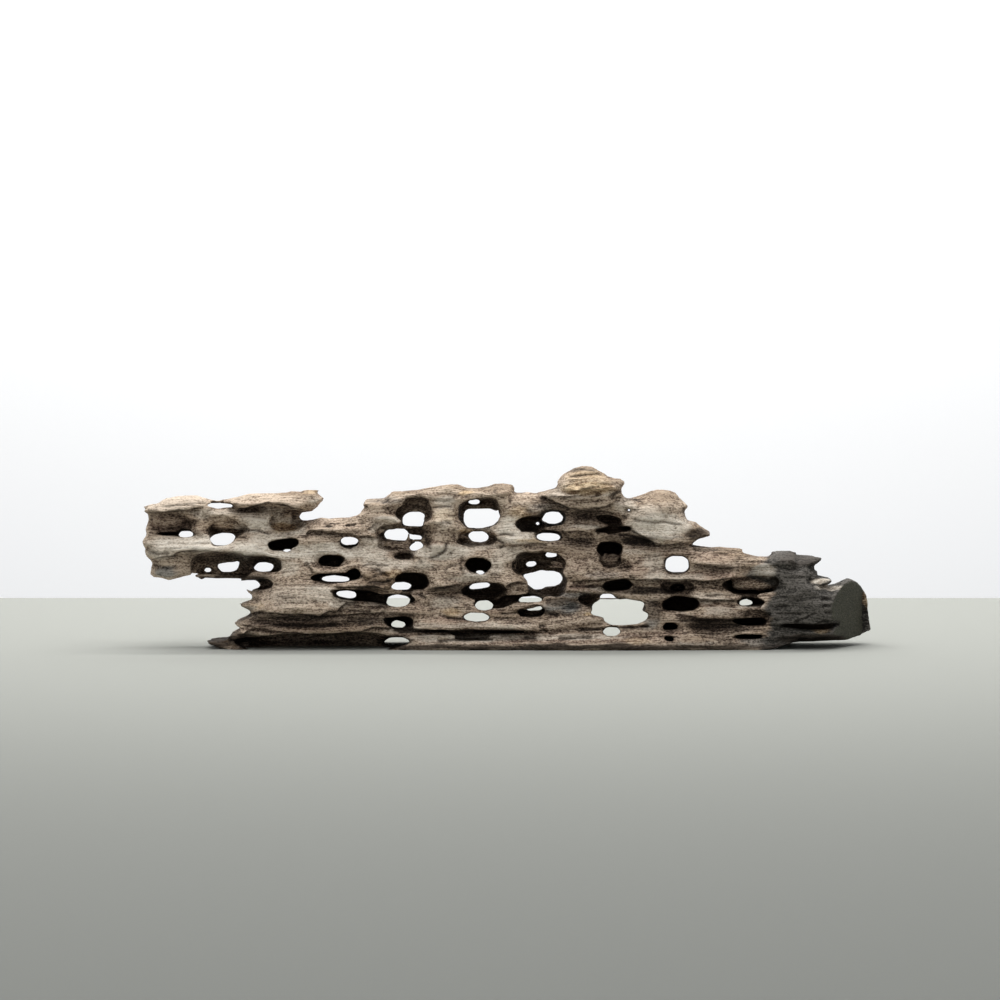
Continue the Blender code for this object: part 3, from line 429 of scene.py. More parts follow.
# Broken edges of the front: how far they stand out, how soon they fade, and their line. The wood stands
# out on the left of the line's run, so a line that runs to the right is a ledge that overhangs.
EDGES = [
    (7, 8, [(-348, 128.6), (-330, 128.2), (-318, 129.4), (-301, 131), (-290, 134)]),
    (5, 6, [(-340, 84), (-322, 86), (-310, 91), (-285, 91.5), (-255, 87), (-217, 84)]),
    (2, 4, [(-344, 89.5), (-333, 87.5), (-320, 88)]),
    (6, 8, [(-260, 132), (-250, 131.5), (-235, 136), (-228, 138), (-213, 135), (-205, 132.5), (-192, 130)]),
    (3, 5, [(-292, 127), (-282, 123.5), (-271, 125.5), (-260, 121), (-252, 113)]),
    (2.4, 4, [(-240, 110.5), (-226, 110), (-214, 108.5), (-200, 108.6)]),
    (5.5, 6, [(-200, 105), (-192, 106.5), (-190, 110.5), (-178, 110), (-165, 108.5), (-150, 108),
        (-143, 105.5), (-133, 105), (-122, 104)]),
    (1.6, 3, [(-160, 119.5), (-150, 120), (-143, 122), (-134, 124.5)]),
    (1.6, 3, [(-192, 144.5), (-184, 143.2), (-178, 143.8)]),
    (2, 3, [(-137, 137.6), (-122, 138), (-114, 140.5), (-108, 143)]),
    (2.4, 4, [(-121, 134), (-113, 133), (-104, 133)]),
    (2.4, 4, [(-201, 107.5), (-194, 111), (-190, 117.5)]),
    (7, 11, [(-250, 30), (-236, 33.5), (-226, 32.5), (-214, 31), (-200, 31), (-188, 30), (-179, 29.6),
        (-170, 33.5), (-162, 34.5), (-159.5, 39), (-152, 43), (-146, 42.5), (-139, 40.5)]),
    (2, 3, [(-214, 34), (-204, 33.4), (-198, 35), (-190, 31.8)]),
    (2.5, 4, [(-148, 41), (-140, 38.4), (-131, 38), (-122, 39), (-108, 40)]),
    (5, 5, [(-160, 30), (-150, 30), (-140, 31.5), (-130, 31.5), (-120, 33), (-117, 35.5), (-114, 38)]),
    (4.5, 4, [(-260, 22.5), (-250, 20.5), (-235, 19), (-224, 20.6), (-208, 21.5), (-190, 21), (-157, 21.5),
        (-152, 24)]),
    (6, 6, [(-258, 9), (-243, 17.5), (-230, 16.5), (-222, 14.6), (-205, 13.6), (-195, 12.5), (-180, 12),
        (-155, 13), (-140, 15), (-128, 18), (-118, 18), (-100, 17), (-80, 16.4), (-60, 15.4), (-50, 15),
        (-44, 15.8), (-20, 16), (0, 15.6), (20, 15), (30, 14.4)]),
    (5.5, 6, [(-168, 57), (-158, 56), (-148, 57.5), (-134, 57.5), (-126, 57.5), (-119, 55), (-111, 52)]),
    (2, 3, [(-118, 32), (-100, 31.2), (-84, 31), (-66, 30.5), (-58, 27.5), (-50, 26.5), (-41, 27)]),
    (2, 3, [(-77, 62), (-70, 60.5), (-66, 58.2), (-60, 57.5)]),
    (7, 6, [(-78, 55), (-62, 56.5), (-50, 58.5), (-41, 59.5)]),
    (7, 6, [(-14, 57.4), (-8, 55.5), (-3, 54.5), (0, 57.5), (4, 60.5), (10, 61), (17, 61)]),
    (2.6, 3, [(-20, 44), (-8, 44.5), (4, 47), (12, 49), (25, 50)]),
    (1.6, 2.5, [(-60, 65), (-52, 66.6), (-40, 66.3), (-20, 66), (-6, 65.4)]),
    (2.4, 3.5, [(-50, 145.4), (-42, 144.7), (-34, 146), (-24, 145.4), (-19, 141)]),
    (2, 3, [(-18, 144), (-10, 144.4), (4, 144.4)]),
    (2.4, 3, [(-18, 138), (-12, 136), (-4, 132.4)]),
    (3.6, 6, [(-4, 93.8), (6, 96.5), (14, 98), (26, 98.4), (42, 97)]),
    (1.8, 3, [(-82, 109.6), (-66, 109.2), (-40, 109)]),
    (4, 5, [(27, 144.4), (36, 142.5), (46, 143), (60, 143), (68, 144.5), (78, 146.5), (91, 148)]),
    (3, 4, [(52, 141), (64, 139.4), (80, 139.2), (94, 141)]),
    (2.4, 3, [(50, 157.6), (64, 159), (80, 160.6), (96, 159.6)]),
    (2.2, 3, [(47, 152.4), (62, 153.6), (80, 155.4), (106, 155.6)]),
    (2.4, 3, [(40, 148), (56, 147.4), (72, 149), (92, 149.4)]),
    (8, 9, [(28, 146.5), (36, 141.5), (46, 137), (58, 132.5), (68, 130.5), (80, 131.5), (92, 133.5),
        (102, 138)]),
    (3, 3, [(56, 162), (68, 163.4), (80, 164.8), (92, 165)]),
    (1.6, 3, [(62, 151), (74, 151), (88, 152)]),
    (3, 3, [(96, 142), (101, 145.4), (108, 149.4)]),
    (4.5, 5, [(46, 51), (56, 53), (65, 52.4), (72, 51.4), (80, 50.8), (92, 50.6)]),
    (2.4, 3, [(37, 47), (44, 45.6), (55, 44.6), (67, 44)]),
    (7, 6, [(60, 62.4), (75, 63.4), (90, 64), (112, 64.6), (122, 63.4), (150, 64), (170, 63.5), (185, 62.6),
        (200, 63), (208, 64.6), (220, 68)]),
    (8, 8, [(103, 112), (113, 113.5), (121, 109), (129, 104.5), (136, 100.5), (142, 97), (155, 97.5),
        (171, 99)]),
    (2, 3, [(138, 93.4), (148, 93.2), (158, 94.5), (169, 96)]),
    (1.6, 2.4, [(140, 101.4), (150, 100.5), (169, 100)]),
    (2.4, 3, [(124, 88.4), (132, 88), (150, 87.3), (174, 88)]),
    (6, 6, [(158, 30.8), (166, 30), (172, 28.4), (180, 27), (195, 26.3), (207, 26), (217, 27.5), (226, 28)]),
    (5, 5, [(174, 79.4), (186, 78), (200, 76), (216, 74)]),
    (4, 4, [(56, 128.5), (70, 129.4), (86, 129.6), (104, 128)]),
    (4, 4, [(52, 108.5), (60, 109.6), (72, 110), (84, 107.6)]),
    (5, 6, [(171, 50), (176, 46.5), (183, 45), (200, 44.4), (219, 44)]),
    (2.4, 3, [(226, 31), (219, 31.6), (214, 31.5)]),
    (4.5, 5, [(221, 34.5), (232, 35), (240, 34.5), (246, 31), (249, 26), (251.5, 20)]),
    (2, 2.5, [(226, 30.4), (240, 30), (247, 25.5)]),
    (2, 3, [(250, 80), (262, 81.2), (272, 80), (282, 80.5), (291, 81)]),
    (2, 3, [(262, 68.6), (275, 67.6), (291, 67)]),
    (4.5, 5, [(252, 20), (270, 20.6), (290, 21), (300, 25.5), (318, 24)]),
    (2, 3, [(270, 22.4), (282, 27.5), (294, 33)]),
    (4.5, 6, [(216, 11.4), (230, 11), (247, 10.4)]),
    (3, 6, [(252, 9), (280, 9.4), (300, 10), (330, 9)]),
]

# Ridges and grooves of the front: rise above 0 or depth below it, half the width, and the line.
STROKES = [
    (2.4, 1.8, [(-189, 81), (-186, 74), (-178, 71), (-166, 73), (-152, 77), (-141, 78)]),
    (2.2, 3, [(112, 141), (120, 145), (129, 143)]), (-2, 1.2, [(108, 137), (118, 140.5), (130, 138)]),
    (-3.5, 1.6, [(104, 107), (116, 105.5), (128, 102), (138, 98.5)]),
    (2.6, 1.6, [(112, 110), (126, 106), (140, 102)]),
    (2.4, 1.4, [(160, 29.5), (186, 28.5), (214, 28), (240, 27.5)]),
    (-3, 1.6, [(162, 25.5), (190, 24.5), (214, 24)]), (-2.6, 1.2, [(56, 56.8), (84, 57.8), (110, 56.5)]),
    (-2.6, 1.2, [(118, 57), (132, 55.6), (148, 53.8)]), (-2.4, 1.2, [(186, 49), (200, 48.6), (216, 48.8)]),
    (-2.5, 2.5, [(-288, 129), (-268, 128), (-250, 128.6)]), (2, 4, [(-262, 119), (-245, 121), (-228, 117)]),
    (-3, 1.2, [(-250, 110.5), (-235, 110), (-226, 106.5)]),
    (-3, 1.1, [(-263, 104), (-255, 104.3), (-248, 104.5)]), (-3, 1.3, [(-262, 123.5), (-259.5, 123.6)]),
    (-3, 1.3, [(-259, 118), (-256.5, 118)]), (-3, 1.4, [(-257, 140), (-254.5, 140.2)]),
    (2, 2.4, [(-300, 110), (-296, 113), (-291, 110)]),
    (-2.4, 1.5, [(-343, 90.4), (-333, 88.6), (-321, 88)]), (-2, 1.6, [(-338, 78), (-326, 75), (-313, 76)]),
    (2.5, 3, [(-192, 115.5), (-180, 114), (-165, 113.2), (-150, 112.5), (-135, 113)]),
    (-4, 1.2, [(-174.5, 115), (-170, 115.3), (-165.5, 114.6)]),
    (-4, 1.2, [(-155, 115.3), (-150, 115.7), (-145, 116.3)]), (-4, 1.2, [(-141, 117), (-137, 117.6)]),
    (-2, 1.4, [(-133, 110.5), (-129, 114), (-124, 118)]),
    (-3.4, 1.2, [(-121, 137), (-117, 138), (-112, 139.6)]),
    (-4, 4, [(-119, 129.5), (-111, 129.5), (-101, 128.5)]), (-3, 1.3, [(-138, 135), (-134, 132)]),
    (2.4, 2.6, [(-131, 119.5), (-117, 122.4), (-104, 121), (-98, 119)]),
    (-3, 1.2, [(-118.5, 83), (-115.5, 83)]),
    (2.5, 2.6, [(-189, 76), (-184, 73), (-172, 72.4), (-160, 73.8), (-151, 77)]),
    (-2.2, 1.2, [(-195, 78), (-190, 78), (-188.4, 75), (-185, 69)]),
    (-3, 1.3, [(-155, 80), (-150.5, 79.2)]),
    (-2.4, 1.1, [(-140, 76), (-134, 78.4), (-129, 79), (-120, 77.6), (-112, 77)]),
    (-3, 1.4, [(-104, 139), (-101, 138)]), (-2.4, 1.3, [(-131, 66), (-125, 69), (-116, 70)]),
    (-2.4, 1.3, [(-133, 59), (-122, 59.6), (-112, 63)]), (-2, 1.4, [(-137, 58.5), (-128, 62)]),
    (2, 1.8, [(-124, 71), (-115, 72.5), (-108, 69)]),
    (-4, 3.4, [(-158, 26.6), (-146, 26), (-132, 26), (-122, 27)]),
    (-2.4, 1, [(-152, 33), (-142, 33.8), (-128, 33.2)]), (-3, 2, [(-248, 37.5), (-242, 36.4)]),
    (-2, 1.1, [(-240, 50), (-238, 45), (-235, 43)]),
    (-1.4, 0.9, [(-225, 59), (-205, 58.4), (-185, 59.4), (-170, 58.4)]),
    (-1.4, 0.9, [(-222, 49), (-214, 47), (-200, 46.6)]), (-2, 1, [(-207, 61.4), (-203, 61)]),
    (-4, 1.3, [(-268, 6), (-256, 6.4), (-243, 7.4)]),
    (-1.6, 1, [(-224, 26.4), (-210, 26), (-196, 25.4), (-178, 24.6)]),
    (-3, 1.4, [(-226, 20.4), (-208, 19.8), (-160, 20.4)]),
    (-2.6, 1.2, [(-89, 49.6), (-83, 48.2), (-77, 45.4)]), (-2, 1.1, [(-96, 53), (-86, 52), (-80, 50)]),
    (2, 1.8, [(-86, 41.5), (-80, 43.5), (-78, 48), (-83, 52)]),
    (1.8, 1.6, [(-58, 46), (-50, 40.4), (-43, 38.6)]),
    (-3, 1.4, [(-63, 30), (-56, 27.4), (-48, 26), (-42, 26)]),
    (-2, 1.2, [(-40, 34), (-38, 36), (-33, 36.6)]),
    (2.6, 2, [(-18, 45.4), (-8, 46.2), (5, 48.8), (23, 51.4)]),
    (-3, 1.2, [(-9, 30.6), (2, 31.4), (12, 32.6)]), (-2.4, 1.2, [(-14, 27.2), (-6, 26), (9, 26.6)]),
    (2, 1.8, [(-42, 19.8), (-20, 19.6), (0, 20), (28, 18.6)]),
    (2.4, 1.4, [(-96, 11), (-76, 10.6), (-50, 9.4), (-30, 9.7), (0, 10.4), (40, 12)]),
    (-3.4, 1.1, [(-68, 5.4), (-58, 5.6), (-50, 6.2), (-40, 6.6), (-14, 6.6)]),
    (-3, 2.5, [(-122, 54.5), (-134, 54), (-147, 54.4)]),
    (2.6, 1.5, [(61, 62), (54, 55.4), (46, 51.4), (39, 49), (34, 44.6)]),
    (2, 3, [(53, 56.6), (66, 57), (81, 56.4)]), (-4, 1.8, [(34, 33.4), (41, 31), (49, 29.4)]),
    (-3.4, 1.3, [(28.5, 19.4), (38.5, 19.6)]), (-3, 1.1, [(14.5, 8.5), (20, 8), (26.5, 6.4)]),
    (-4, 1.3, [(47.5, 7), (56, 7.2), (70, 8), (80.5, 8.4)]),
    (-5, 1.5, [(65.5, 15.4), (75, 16.4), (90, 17), (106, 17.8), (120, 18), (135.5, 19)]),
    (-3, 1.1, [(28, 15.2), (34, 15.6), (38, 14.2)]), (-1.6, 1, [(108, 8), (122, 8.7), (138, 8)]),
    (-4.5, 1.4, [(58, 161.6), (70, 163), (80, 164.2), (90, 164.4)]),
    (-3, 1, [(58, 168), (72, 168.8), (84, 167.4)]),
    (3.4, 2.4, [(-84, 112.5), (-78, 117.5), (-69, 119.5), (-61, 117), (-59, 111)]),
    (2.6, 2.4, [(-291, 130), (-293, 122), (-291, 114)]),
    (-3, 1.4, [(-57, 101), (-59, 93), (-66, 87), (-75, 83.4)]),
    (-1.2, 1.4, [(128, 134), (134, 137.4), (142, 135.4), (146, 129), (150, 121)]),
    (-2.4, 1.2, [(118, 121), (134, 118), (150, 118.6), (166, 116)]),
    (2.4, 2, [(-142, 78), (-132, 77.6), (-120, 78.6), (-108, 76)]),
    (-4, 2, [(-138, 66), (-128, 63), (-118, 60), (-110, 60.6)]),
    (-3, 1.4, [(-128, 74), (-120, 71.5), (-112, 66)]),
    (2.6, 2, [(-133, 56), (-124, 55), (-114, 58), (-106, 64)]), (-3.5, 1.4, [(49, 160.6), (52, 160)]),
    (-3.5, 1.5, [(48, 154.8), (51.5, 153.6)]), (-3.5, 1.8, [(83.5, 145.4), (88.5, 145.8)]),
    (-2.6, 1.1, [(68, 150.6), (78, 151), (89, 151.8)]), (-3.6, 1.4, [(95, 142), (101, 145.4), (108, 149)]),
    (-3, 1.2, [(95.5, 141.4), (101, 142.2), (108, 142.6)]),
    (-1.8, 1, [(64, 155.5), (76, 157.4), (88, 158)]), (-1.8, 1, [(52, 152), (62, 155), (72, 153.6)]),
    (-3, 1.4, [(20.5, 105), (23.5, 105)]), (-2.6, 1.1, [(-10, 106.8), (-3, 107.6), (7, 106)]),
    (-3.4, 1.5, [(0.6, 136.4), (2.4, 138.4), (4.4, 140.4)]), (-2.4, 1.1, [(-14, 149.4), (-9.6, 145.6)]),
    (2.8, 2, [(-43, 79), (-42, 72), (-37, 69), (-28, 68.3), (-20, 69.2), (-15.4, 73), (-15.4, 79),
        (-18, 84), (-24, 85.8), (-34, 86), (-40, 84), (-43, 79)]),
    (-3.4, 1.2, [(-41, 84.5), (-44.6, 80), (-44.4, 75), (-41, 71)]),
    (-3, 1.3, [(-15, 104), (-8, 100), (-2, 97)]),
    (-3.4, 1.2, [(-10, 93.6), (-6, 94.2), (-4, 95.6), (-1.5, 93.8)]),
    (-2.4, 1.3, [(-72, 133), (-62, 133.4), (-52, 133)]),
    (-2.4, 1.4, [(-66, 117), (-60, 119), (-53, 117.4)]), (-2, 1.1, [(-58, 124), (-48, 124)]),
    (-2.6, 1.6, [(-79, 105), (-76.4, 98), (-73, 91.6)]), (-2, 1.2, [(-61, 70.5), (-55, 77), (-45, 79.4)]),
    (-3, 1.4, [(-57.5, 87), (-53, 91)]), (-2, 1, [(-97, 81.5), (-86, 84.5), (-81, 79)]),
    (-1.8, 1.2, [(-75, 140), (-60, 139), (-50, 141)]), (-1.8, 1.2, [(-100, 141), (-85, 142.6), (-70, 137)]),
    (2, 2, [(8, 113), (8.4, 121), (13, 126), (22, 130), (32, 128)]),
    (-2.6, 1.8, [(15, 128.6), (20, 129.6), (25, 128.6)]),
    (2.4, 1.8, [(27, 111), (36, 113), (44, 117), (52, 113.6), (57, 107)]),
    (-3, 1.4, [(51, 111.6), (54, 107), (58, 104.6)]), (-4.5, 2.2, [(109, 130.4), (119, 130.2)]),
    (-3.4, 1.3, [(108.5, 124.8), (114, 122.4)]),
    (-1.6, 1, [(126, 141), (127.6, 136), (124, 132), (119, 129)]),
    (-2.4, 1.2, [(119, 80), (125, 80.5), (128.6, 81.6)]),
    (-1.6, 1.3, [(132, 68.6), (138, 72.4), (142.5, 76.6)]), (-2, 1.1, [(112.5, 75.4), (118.5, 76.6)]),
    (-3.4, 1.3, [(114, 67.6), (119, 66), (121.4, 62.6)]), (-3.4, 1.5, [(77, 67), (79.4, 67.4)]),
    (-2.4, 1.2, [(132, 144.4), (135.4, 145.4)]), (-3.4, 1.4, [(157.6, 113), (160.6, 113)]),
    (-3.4, 1.5, [(164.5, 130), (170, 131.6)]),
    (-2.8, 1.3, [(92, 115), (85.4, 113.2), (83.4, 110), (87, 105.8)]),
    (2.4, 1.8, [(79, 52.6), (95, 52.2), (108, 53.4), (119, 56.4)]),
    (-3.4, 2.4, [(117, 53), (130, 53), (143, 52)]), (-3, 1.4, [(159, 30), (168, 30), (179, 27.6)]),
    (-2, 1.2, [(142, 8), (148, 9.8), (158, 9.4), (165, 8.4)]),
    (1.6, 1.5, [(151, 56), (155, 60.4), (163, 61.6), (170, 59), (172, 55.4), (166, 51.6), (156, 51.6),
        (151, 56)]),
    (-5, 4.5, [(171, 109), (180, 109.4), (189, 108.4)]),
    (-2, 1, [(175, 92.4), (190, 91.6), (205, 91.8), (222, 91)]), (-1.4, 0.9, [(192, 89), (209, 88.8)]),
    (-1.4, 1, [(222, 85.6), (217.6, 82), (218.4, 79), (222, 77)]),
    (-1.8, 1, [(220, 80), (236, 80.4), (251, 80.2)]), (-3.4, 1.2, [(182, 43.5), (200, 43.5), (219, 43)]),
    (2, 2, [(214, 42), (218.6, 38), (223, 34.6)]), (-1.8, 1, [(210, 7.4), (215.6, 2.4)]),
    (2, 1, [(246, 11.4), (250.4, 7.4)]), (-2, 1.2, [(217, 15.6), (230, 16.4), (246, 16)]),
    (-4, 3.4, [(280, 77), (290, 77)]), (-3.4, 1.6, [(286.6, 66.6), (287, 60)]),
    (-4, 1.2, [(296.5, 45.4), (307.5, 45.6)]), (2.4, 1.8, [(291, 58), (299, 54.6), (311, 55.6), (323, 60)]),
    (-4, 1.2, [(298.5, 38.6), (308.5, 38.4)]), (-4, 1.2, [(301.5, 32), (310.5, 32.2)]),
    (-1.8, 0.9, [(254, 38), (265, 38.4)]), (-1.8, 0.9, [(254, 31.6), (280, 31.6)]),
    (-1.8, 0.9, [(254, 26), (271, 26)]), (-2.4, 1.1, [(272, 23), (283, 27.6), (294, 32.6)]),
    (3, 1.3, [(282, 13), (292, 12.8), (298, 14.6), (304.5, 19)]),
    (2, 1.3, [(258, 14), (275, 13.8), (290, 13)]), (2, 3, [(276, 25), (284, 26), (292, 25)]),
    (-2, 1.3, [(262, 74), (270, 73), (278, 75)]), (-1.6, 0.9, [(-330, 134), (-310, 135), (-285, 138)]),
    (-1.6, 0.9, [(-325, 99), (-300, 98), (-280, 99)]),
]

# Where the wood breaks into flakes along the grain: the middle, half-size and amount of each patch.
FLAKY = [
    (78, 152, 36, 20, 0.6), (-190, 22, 80, 11, 0.8), (300, 70, 20, 16, 0.8), (-60, 147, 60, 7, 0.7),
    (40, 142, 30, 7, 0.8), (60, 26, 80, 10, 0.5), (-20, 14, 120, 8, 0.7), (120, 6, 120, 6, 0.4),
    (-150, 115, 50, 8, 0.7), (198, 88, 40, 7, 0.6), (-325, 92, 26, 7, 0.6), (60, 38, 30, 8, 0.5),
    (-300, 138, 40, 8, 0.6), (-220, 140, 40, 8, 0.5), (340, 30, 8, 34, 1),
]

# Where the wood is knotted: the middle and half-size of each patch, and its amount where that is not 1.
KNOTTY = [
    (-120, 63, 22, 13), (71, 80, 16, 17), (104, 135, 13, 8, 0.6), (94, 67, 16, 6), (-83, 46, 8, 8),
    (-112, 71, 12, 6), (15, 134, 14, 8, 0.6), (-118, 37, 20, 6, 0.5), (104, 105, 14, 5, 0.6),
]

# Lumps and soft dents of the front: the middle, half-size and rise of each.
LUMPS = [
    (-136, 71, 9, 4.4, 5), (-116, 70, 10, 6, 5), (-120, 57, 12, 5, 6), (-141, 62, 7, 4, 3),
    (-104, 58, 6, 5, 3), (-78, 107.5, 6.5, 6, -6), (-65, 95, 9, 9, 5), (-60, 72, 18, 9, 3),
    (-72, 128, 8, 10, 3), (-76, 98, 5, 6, -3), (-264, 116.5, 8, 4, -4), (-241, 120, 12, 9, 5),
    (-230, 128, 24, 4, -4), (-290, 113, 6, 5, 2), (79, 124, 25, 5, -3), (69, 102, 14, 6, -3),
    (120, 101, 15, 5, -4), (110, 78, 7, 6, -3), (192, 20, 25, 6, -3), (112, 136, 8, 6, 3),
    (137, 130, 10, 8, 2), (64, 142, 24, 6, 4), (92, 146, 12, 8, 3), (50, 90, 12, 6, -3),
    (-172, 101, 26, 6, 3), (140, 128, 26, 12, 4), (126, 124, 10, 8, 2), (78, 158, 24, 9, 3),
    (8, 110, 9, 14, 3), (198, 80, 26, 6, 2), (200, 52, 22, 5, 3), (196, 36, 20, 6, 3), (192, 8, 40, 5, 3),
    (-300, 98, 34, 5, 3), (-330, 74, 9, 6, -3), (-268, 122, 12, 5, 3), (70, 114, 20, 4, 3),
    (-150, 112, 40, 4, 2), (-26, 92, 22, 5, 2), (-188, 50, 30, 9, 2), (100, 75, 10, 6, 2),
    (128, 74, 12, 9, 2), (286, 52, 26, 14, 4), (-40, 24, 30, 4, 2), (60, 113, 10, 4, 2),
    (-110, 34, 22, 4, 3), (-18, 148, 22, 4, 3), (-88, 146, 20, 4, 3), (70, 136, 24, 3, 2),
    (-205, 36, 34, 4, 2),
]


def of_points(mesh, kind):
    """The place or the normal of every point of the mesh, one in a row."""
    rows = np.empty(len(mesh.vertices) * 3, np.float32)
    mesh.vertices.foreach_get(kind, rows)
    return rows.reshape(-1, 3).astype(float)


def move_points(mesh, points):
    """Puts every point of the mesh in its new place, rounded so that each run gives the same mesh."""
    mesh.vertices.foreach_set("co", np.round(points, 7).astype(np.float32).ravel())
    mesh.update()


def in_drawing(points):
    """The points in the drawing's millimetres, as x, y and z, with the fan taken out."""
    y = (points[:, 1] - MIDDLE_Y) / MM
    spread = (y - FAN_POINT.y) / -FAN_POINT.y
    x = FAN_POINT.x + ((points[:, 0] - MIDDLE_X) / MM - FAN_POINT.x) / spread
    z = FAN_POINT.z + (points[:, 2] / MM - FAN_POINT.z) / spread
    return x, y, z


def streaks(x, y, z, length, width, seed):
    """Noise from about -1 to 1 that is drawn out along the grain."""
    return np.array([
        1.6 * noise.noise(Vector((px / length, py / (2.5 * width) + seed, pz / width)))
        for px, py, pz in zip(x, y, z)
    ])


def scoops(x, y, z, length, width, seed):
    """Hollows with sharp ridges between them: 0 in a hollow's middle, about 1 on a ridge."""
    return np.array([
        min(noise.voronoi(Vector((px / length, py / (2 * width) + seed, pz / width)))[0][0] * 1.5, 1.4)
        for px, py, pz in zip(x, y, z)
    ])


def wandered(x, y, z):
    """The points' x and z, moved a little, so that no line of the drawing looks ruled."""
    return x + 1.2 * streaks(x, y, z, 8, 3, 41), z + 0.7 * streaks(x, y, z, 11, 4, 47)


def patches(x, z, spots):
    """How much a point belongs to the nearest of some oval patches, from 0 to the patch's own amount."""
    most = np.zeros(len(x))
    for spot_x, spot_z, half_width, half_height, *amount in spots:
        near = 1 - ((x - spot_x) / half_width) ** 2 - ((z - spot_z) / half_height) ** 2
        most = np.maximum(most, np.clip(near * 1.6, 0, 1) * (amount[0] if amount else 1))
    return most


def beside_line(x, z, line):
    """The distance of each point from a line, above 0 on its left, and how far its foot is from an end."""
    least = np.full(len(x), 1e6)
    side = np.zeros(len(x))
    run = np.zeros(len(x))
    done = 0
    for (x0, z0), (x1, z1) in zip(line[:-1], line[1:]):
        length = math.hypot(x1 - x0, z1 - z0)
        share = np.clip(((x - x0) * (x1 - x0) + (z - z0) * (z1 - z0)) / length**2, 0, 1)
        off_x = x - x0 - share * (x1 - x0)
        off_z = z - z0 - share * (z1 - z0)
        away = np.hypot(off_x, off_z)
        nearer = away < least
        least = np.where(nearer, away, least)
        side = np.where(nearer, np.sign((x1 - x0) * off_z - (z1 - z0) * off_x), side)
        run = np.where(nearer, done + share * length, run)
        done += length
    return least * side, np.minimum(run, done - run)


def near_line(x, z, line, margin):
    """The numbers of the points in the line's box with a margin, and where they lie beside the line."""
    line_x, line_z = zip(*line)
    inside = (x > min(line_x) - margin) & (x < max(line_x) + margin)
    inside &= (z > min(line_z) - margin) & (z < max(line_z) + margin)
    here = np.flatnonzero(inside)
    return here, *beside_line(x[here], z[here], line)


EDGE_FADE = 7  # an edge rises over this length from each of its ends, in millimetres
STEP_WIDTH = 0.9  # across an edge, the surface steps down over this width
MOST_RELIEF = 11  # nothing stands out or lies back further than this
SHALLOW = 12  # a boring less deep than this has no worn rim
WIDE = 8  # the grain bends round borings at least this high


def front_relief(x, z):
    """How far the front stands out at each point, in millimetres."""
    rise = np.zeros(len(x))
    brow = np.zeros(len(x))
    for name, hole_x, hole_z, width, height, depth, turn in MOUTHS:
        if depth < SHALLOW:
            continue
        half_width = width / 2
        half_height = height / 2 + 0.5
        near = np.hypot((x - hole_x) / half_width, (z - hole_z + 0.5) / half_height) + 1e-6
        slope = np.hypot((x - hole_x) / half_width**2, (z - hole_z + 0.5) / half_height**2) / near + 1e-6
        away = np.clip((near - 1) / slope, 0, None)
        under = np.clip(0.4 - (z - hole_z) / height, 0.1, 1)
        rim = min(4.5, 0.4 * height) * under * np.exp(-away / 3.4)
        bowl = min(2.4, 0.2 * height) * np.exp(-away / 9)
        rise = np.minimum(rise, -rim - bowl)
        over = np.clip((z - hole_z) / height - 0.1, 0, 0.6)
        brow = np.maximum(brow, min(3.4, 0.28 * height) * over * np.exp(-away / 3))
    rise += brow
    for lump_x, lump_z, half_width, half_height, height in LUMPS:
        rise += height * np.exp(-((x - lump_x) / half_width) ** 2 - ((z - lump_z) / half_height) ** 2)
    for height, reach, line in EDGES:
        here, away, run = near_line(x, z, line, 4 * reach)
        above = np.exp(-np.clip(away, 0, None) / reach) * np.clip(away / STEP_WIDTH + 0.5, 0, 1)
        below = np.exp(np.clip(away, None, 0) / (0.7 * reach)) * np.clip(0.5 - away / STEP_WIDTH, 0, 1)
        rise[here] += 0.6 * height * np.clip(run / EDGE_FADE, 0, 1) * (above - below)
    for height, half_width, line in STROKES:
        here, away, run = near_line(x, z, line, 3 * half_width)
        near = np.clip(run / (2 * half_width), 0, 1) ** 0.7 * np.exp(-((away / half_width) ** 2))
        rise[here] += height * near
    return np.clip(rise, -MOST_RELIEF, MOST_RELIEF)


def painted_crack_shade(x, z):
    """Painted shade and shadow: 1 in the narrow cracks of the front and right under its ledges, 0 away from
    them.
    """
    most = np.zeros(len(x))
    for height, half_width, line in STROKES:
        if height < 0 and half_width < 2:
            here, away, run = near_line(x, z, line, 3 * half_width)
            near = np.clip(run / (2 * half_width), 0, 1) * np.exp(-((away / half_width) ** 2))
            most[here] = np.maximum(most[here], near * min(1, -height / 3))
    for height, reach, line in EDGES:
        here, away, run = near_line(x, z, line, reach)
        under = np.exp(np.clip(away, None, 0) / (0.25 * reach)) * (away < 0.4)
        under *= np.clip(run / EDGE_FADE, 0, 1)
        most[here] = np.maximum(most[here], under * min(1, height / 6))
    return most


def grain_level(x, y, z):
    """The height of each point in the run of the grain, which bends round the larger borings."""
    level = z.copy()
    for name, hole_x, hole_z, width, height, depth, turn in MOUTHS:
        if height >= WIDE:
            near = ((x - hole_x) / (0.75 * width)) ** 2 + ((z - hole_z) / (0.95 * height)) ** 2
            level -= 0.5 * (z - hole_z) * np.exp(-near)
    return level + 2.5 * streaks(x, y, z, 60, 30, 3)


FADE_DEPTH = 38  # the front's relief fades out over this depth behind the face
FOOT = 4 * MM  # nothing is moved on the ground, and less than usual up to this height

points = of_points(wood.data, "co")
x, y, z = in_drawing(points)
front_share = 1 - np.clip((y + FACE) / FADE_DEPTH, 0, 1)
off_ground = np.clip(points[:, 2] / FOOT, 0, 1)
points[:, 1] -= front_relief(*wandered(x, y, z)) * front_share * off_ground * MM
move_points(wood.data, points)
voxel_skin(wood, FINE_MESH)

SAW_TURN = math.radians(28)
SAW_X = 327  # where the cut crosses the drawing's middle
saw_out = np.array([math.cos(SAW_TURN), -math.sin(SAW_TURN), 0])
saw_point = np.array([SAW_X * MM + MIDDLE_X, MIDDLE_Y, 0])


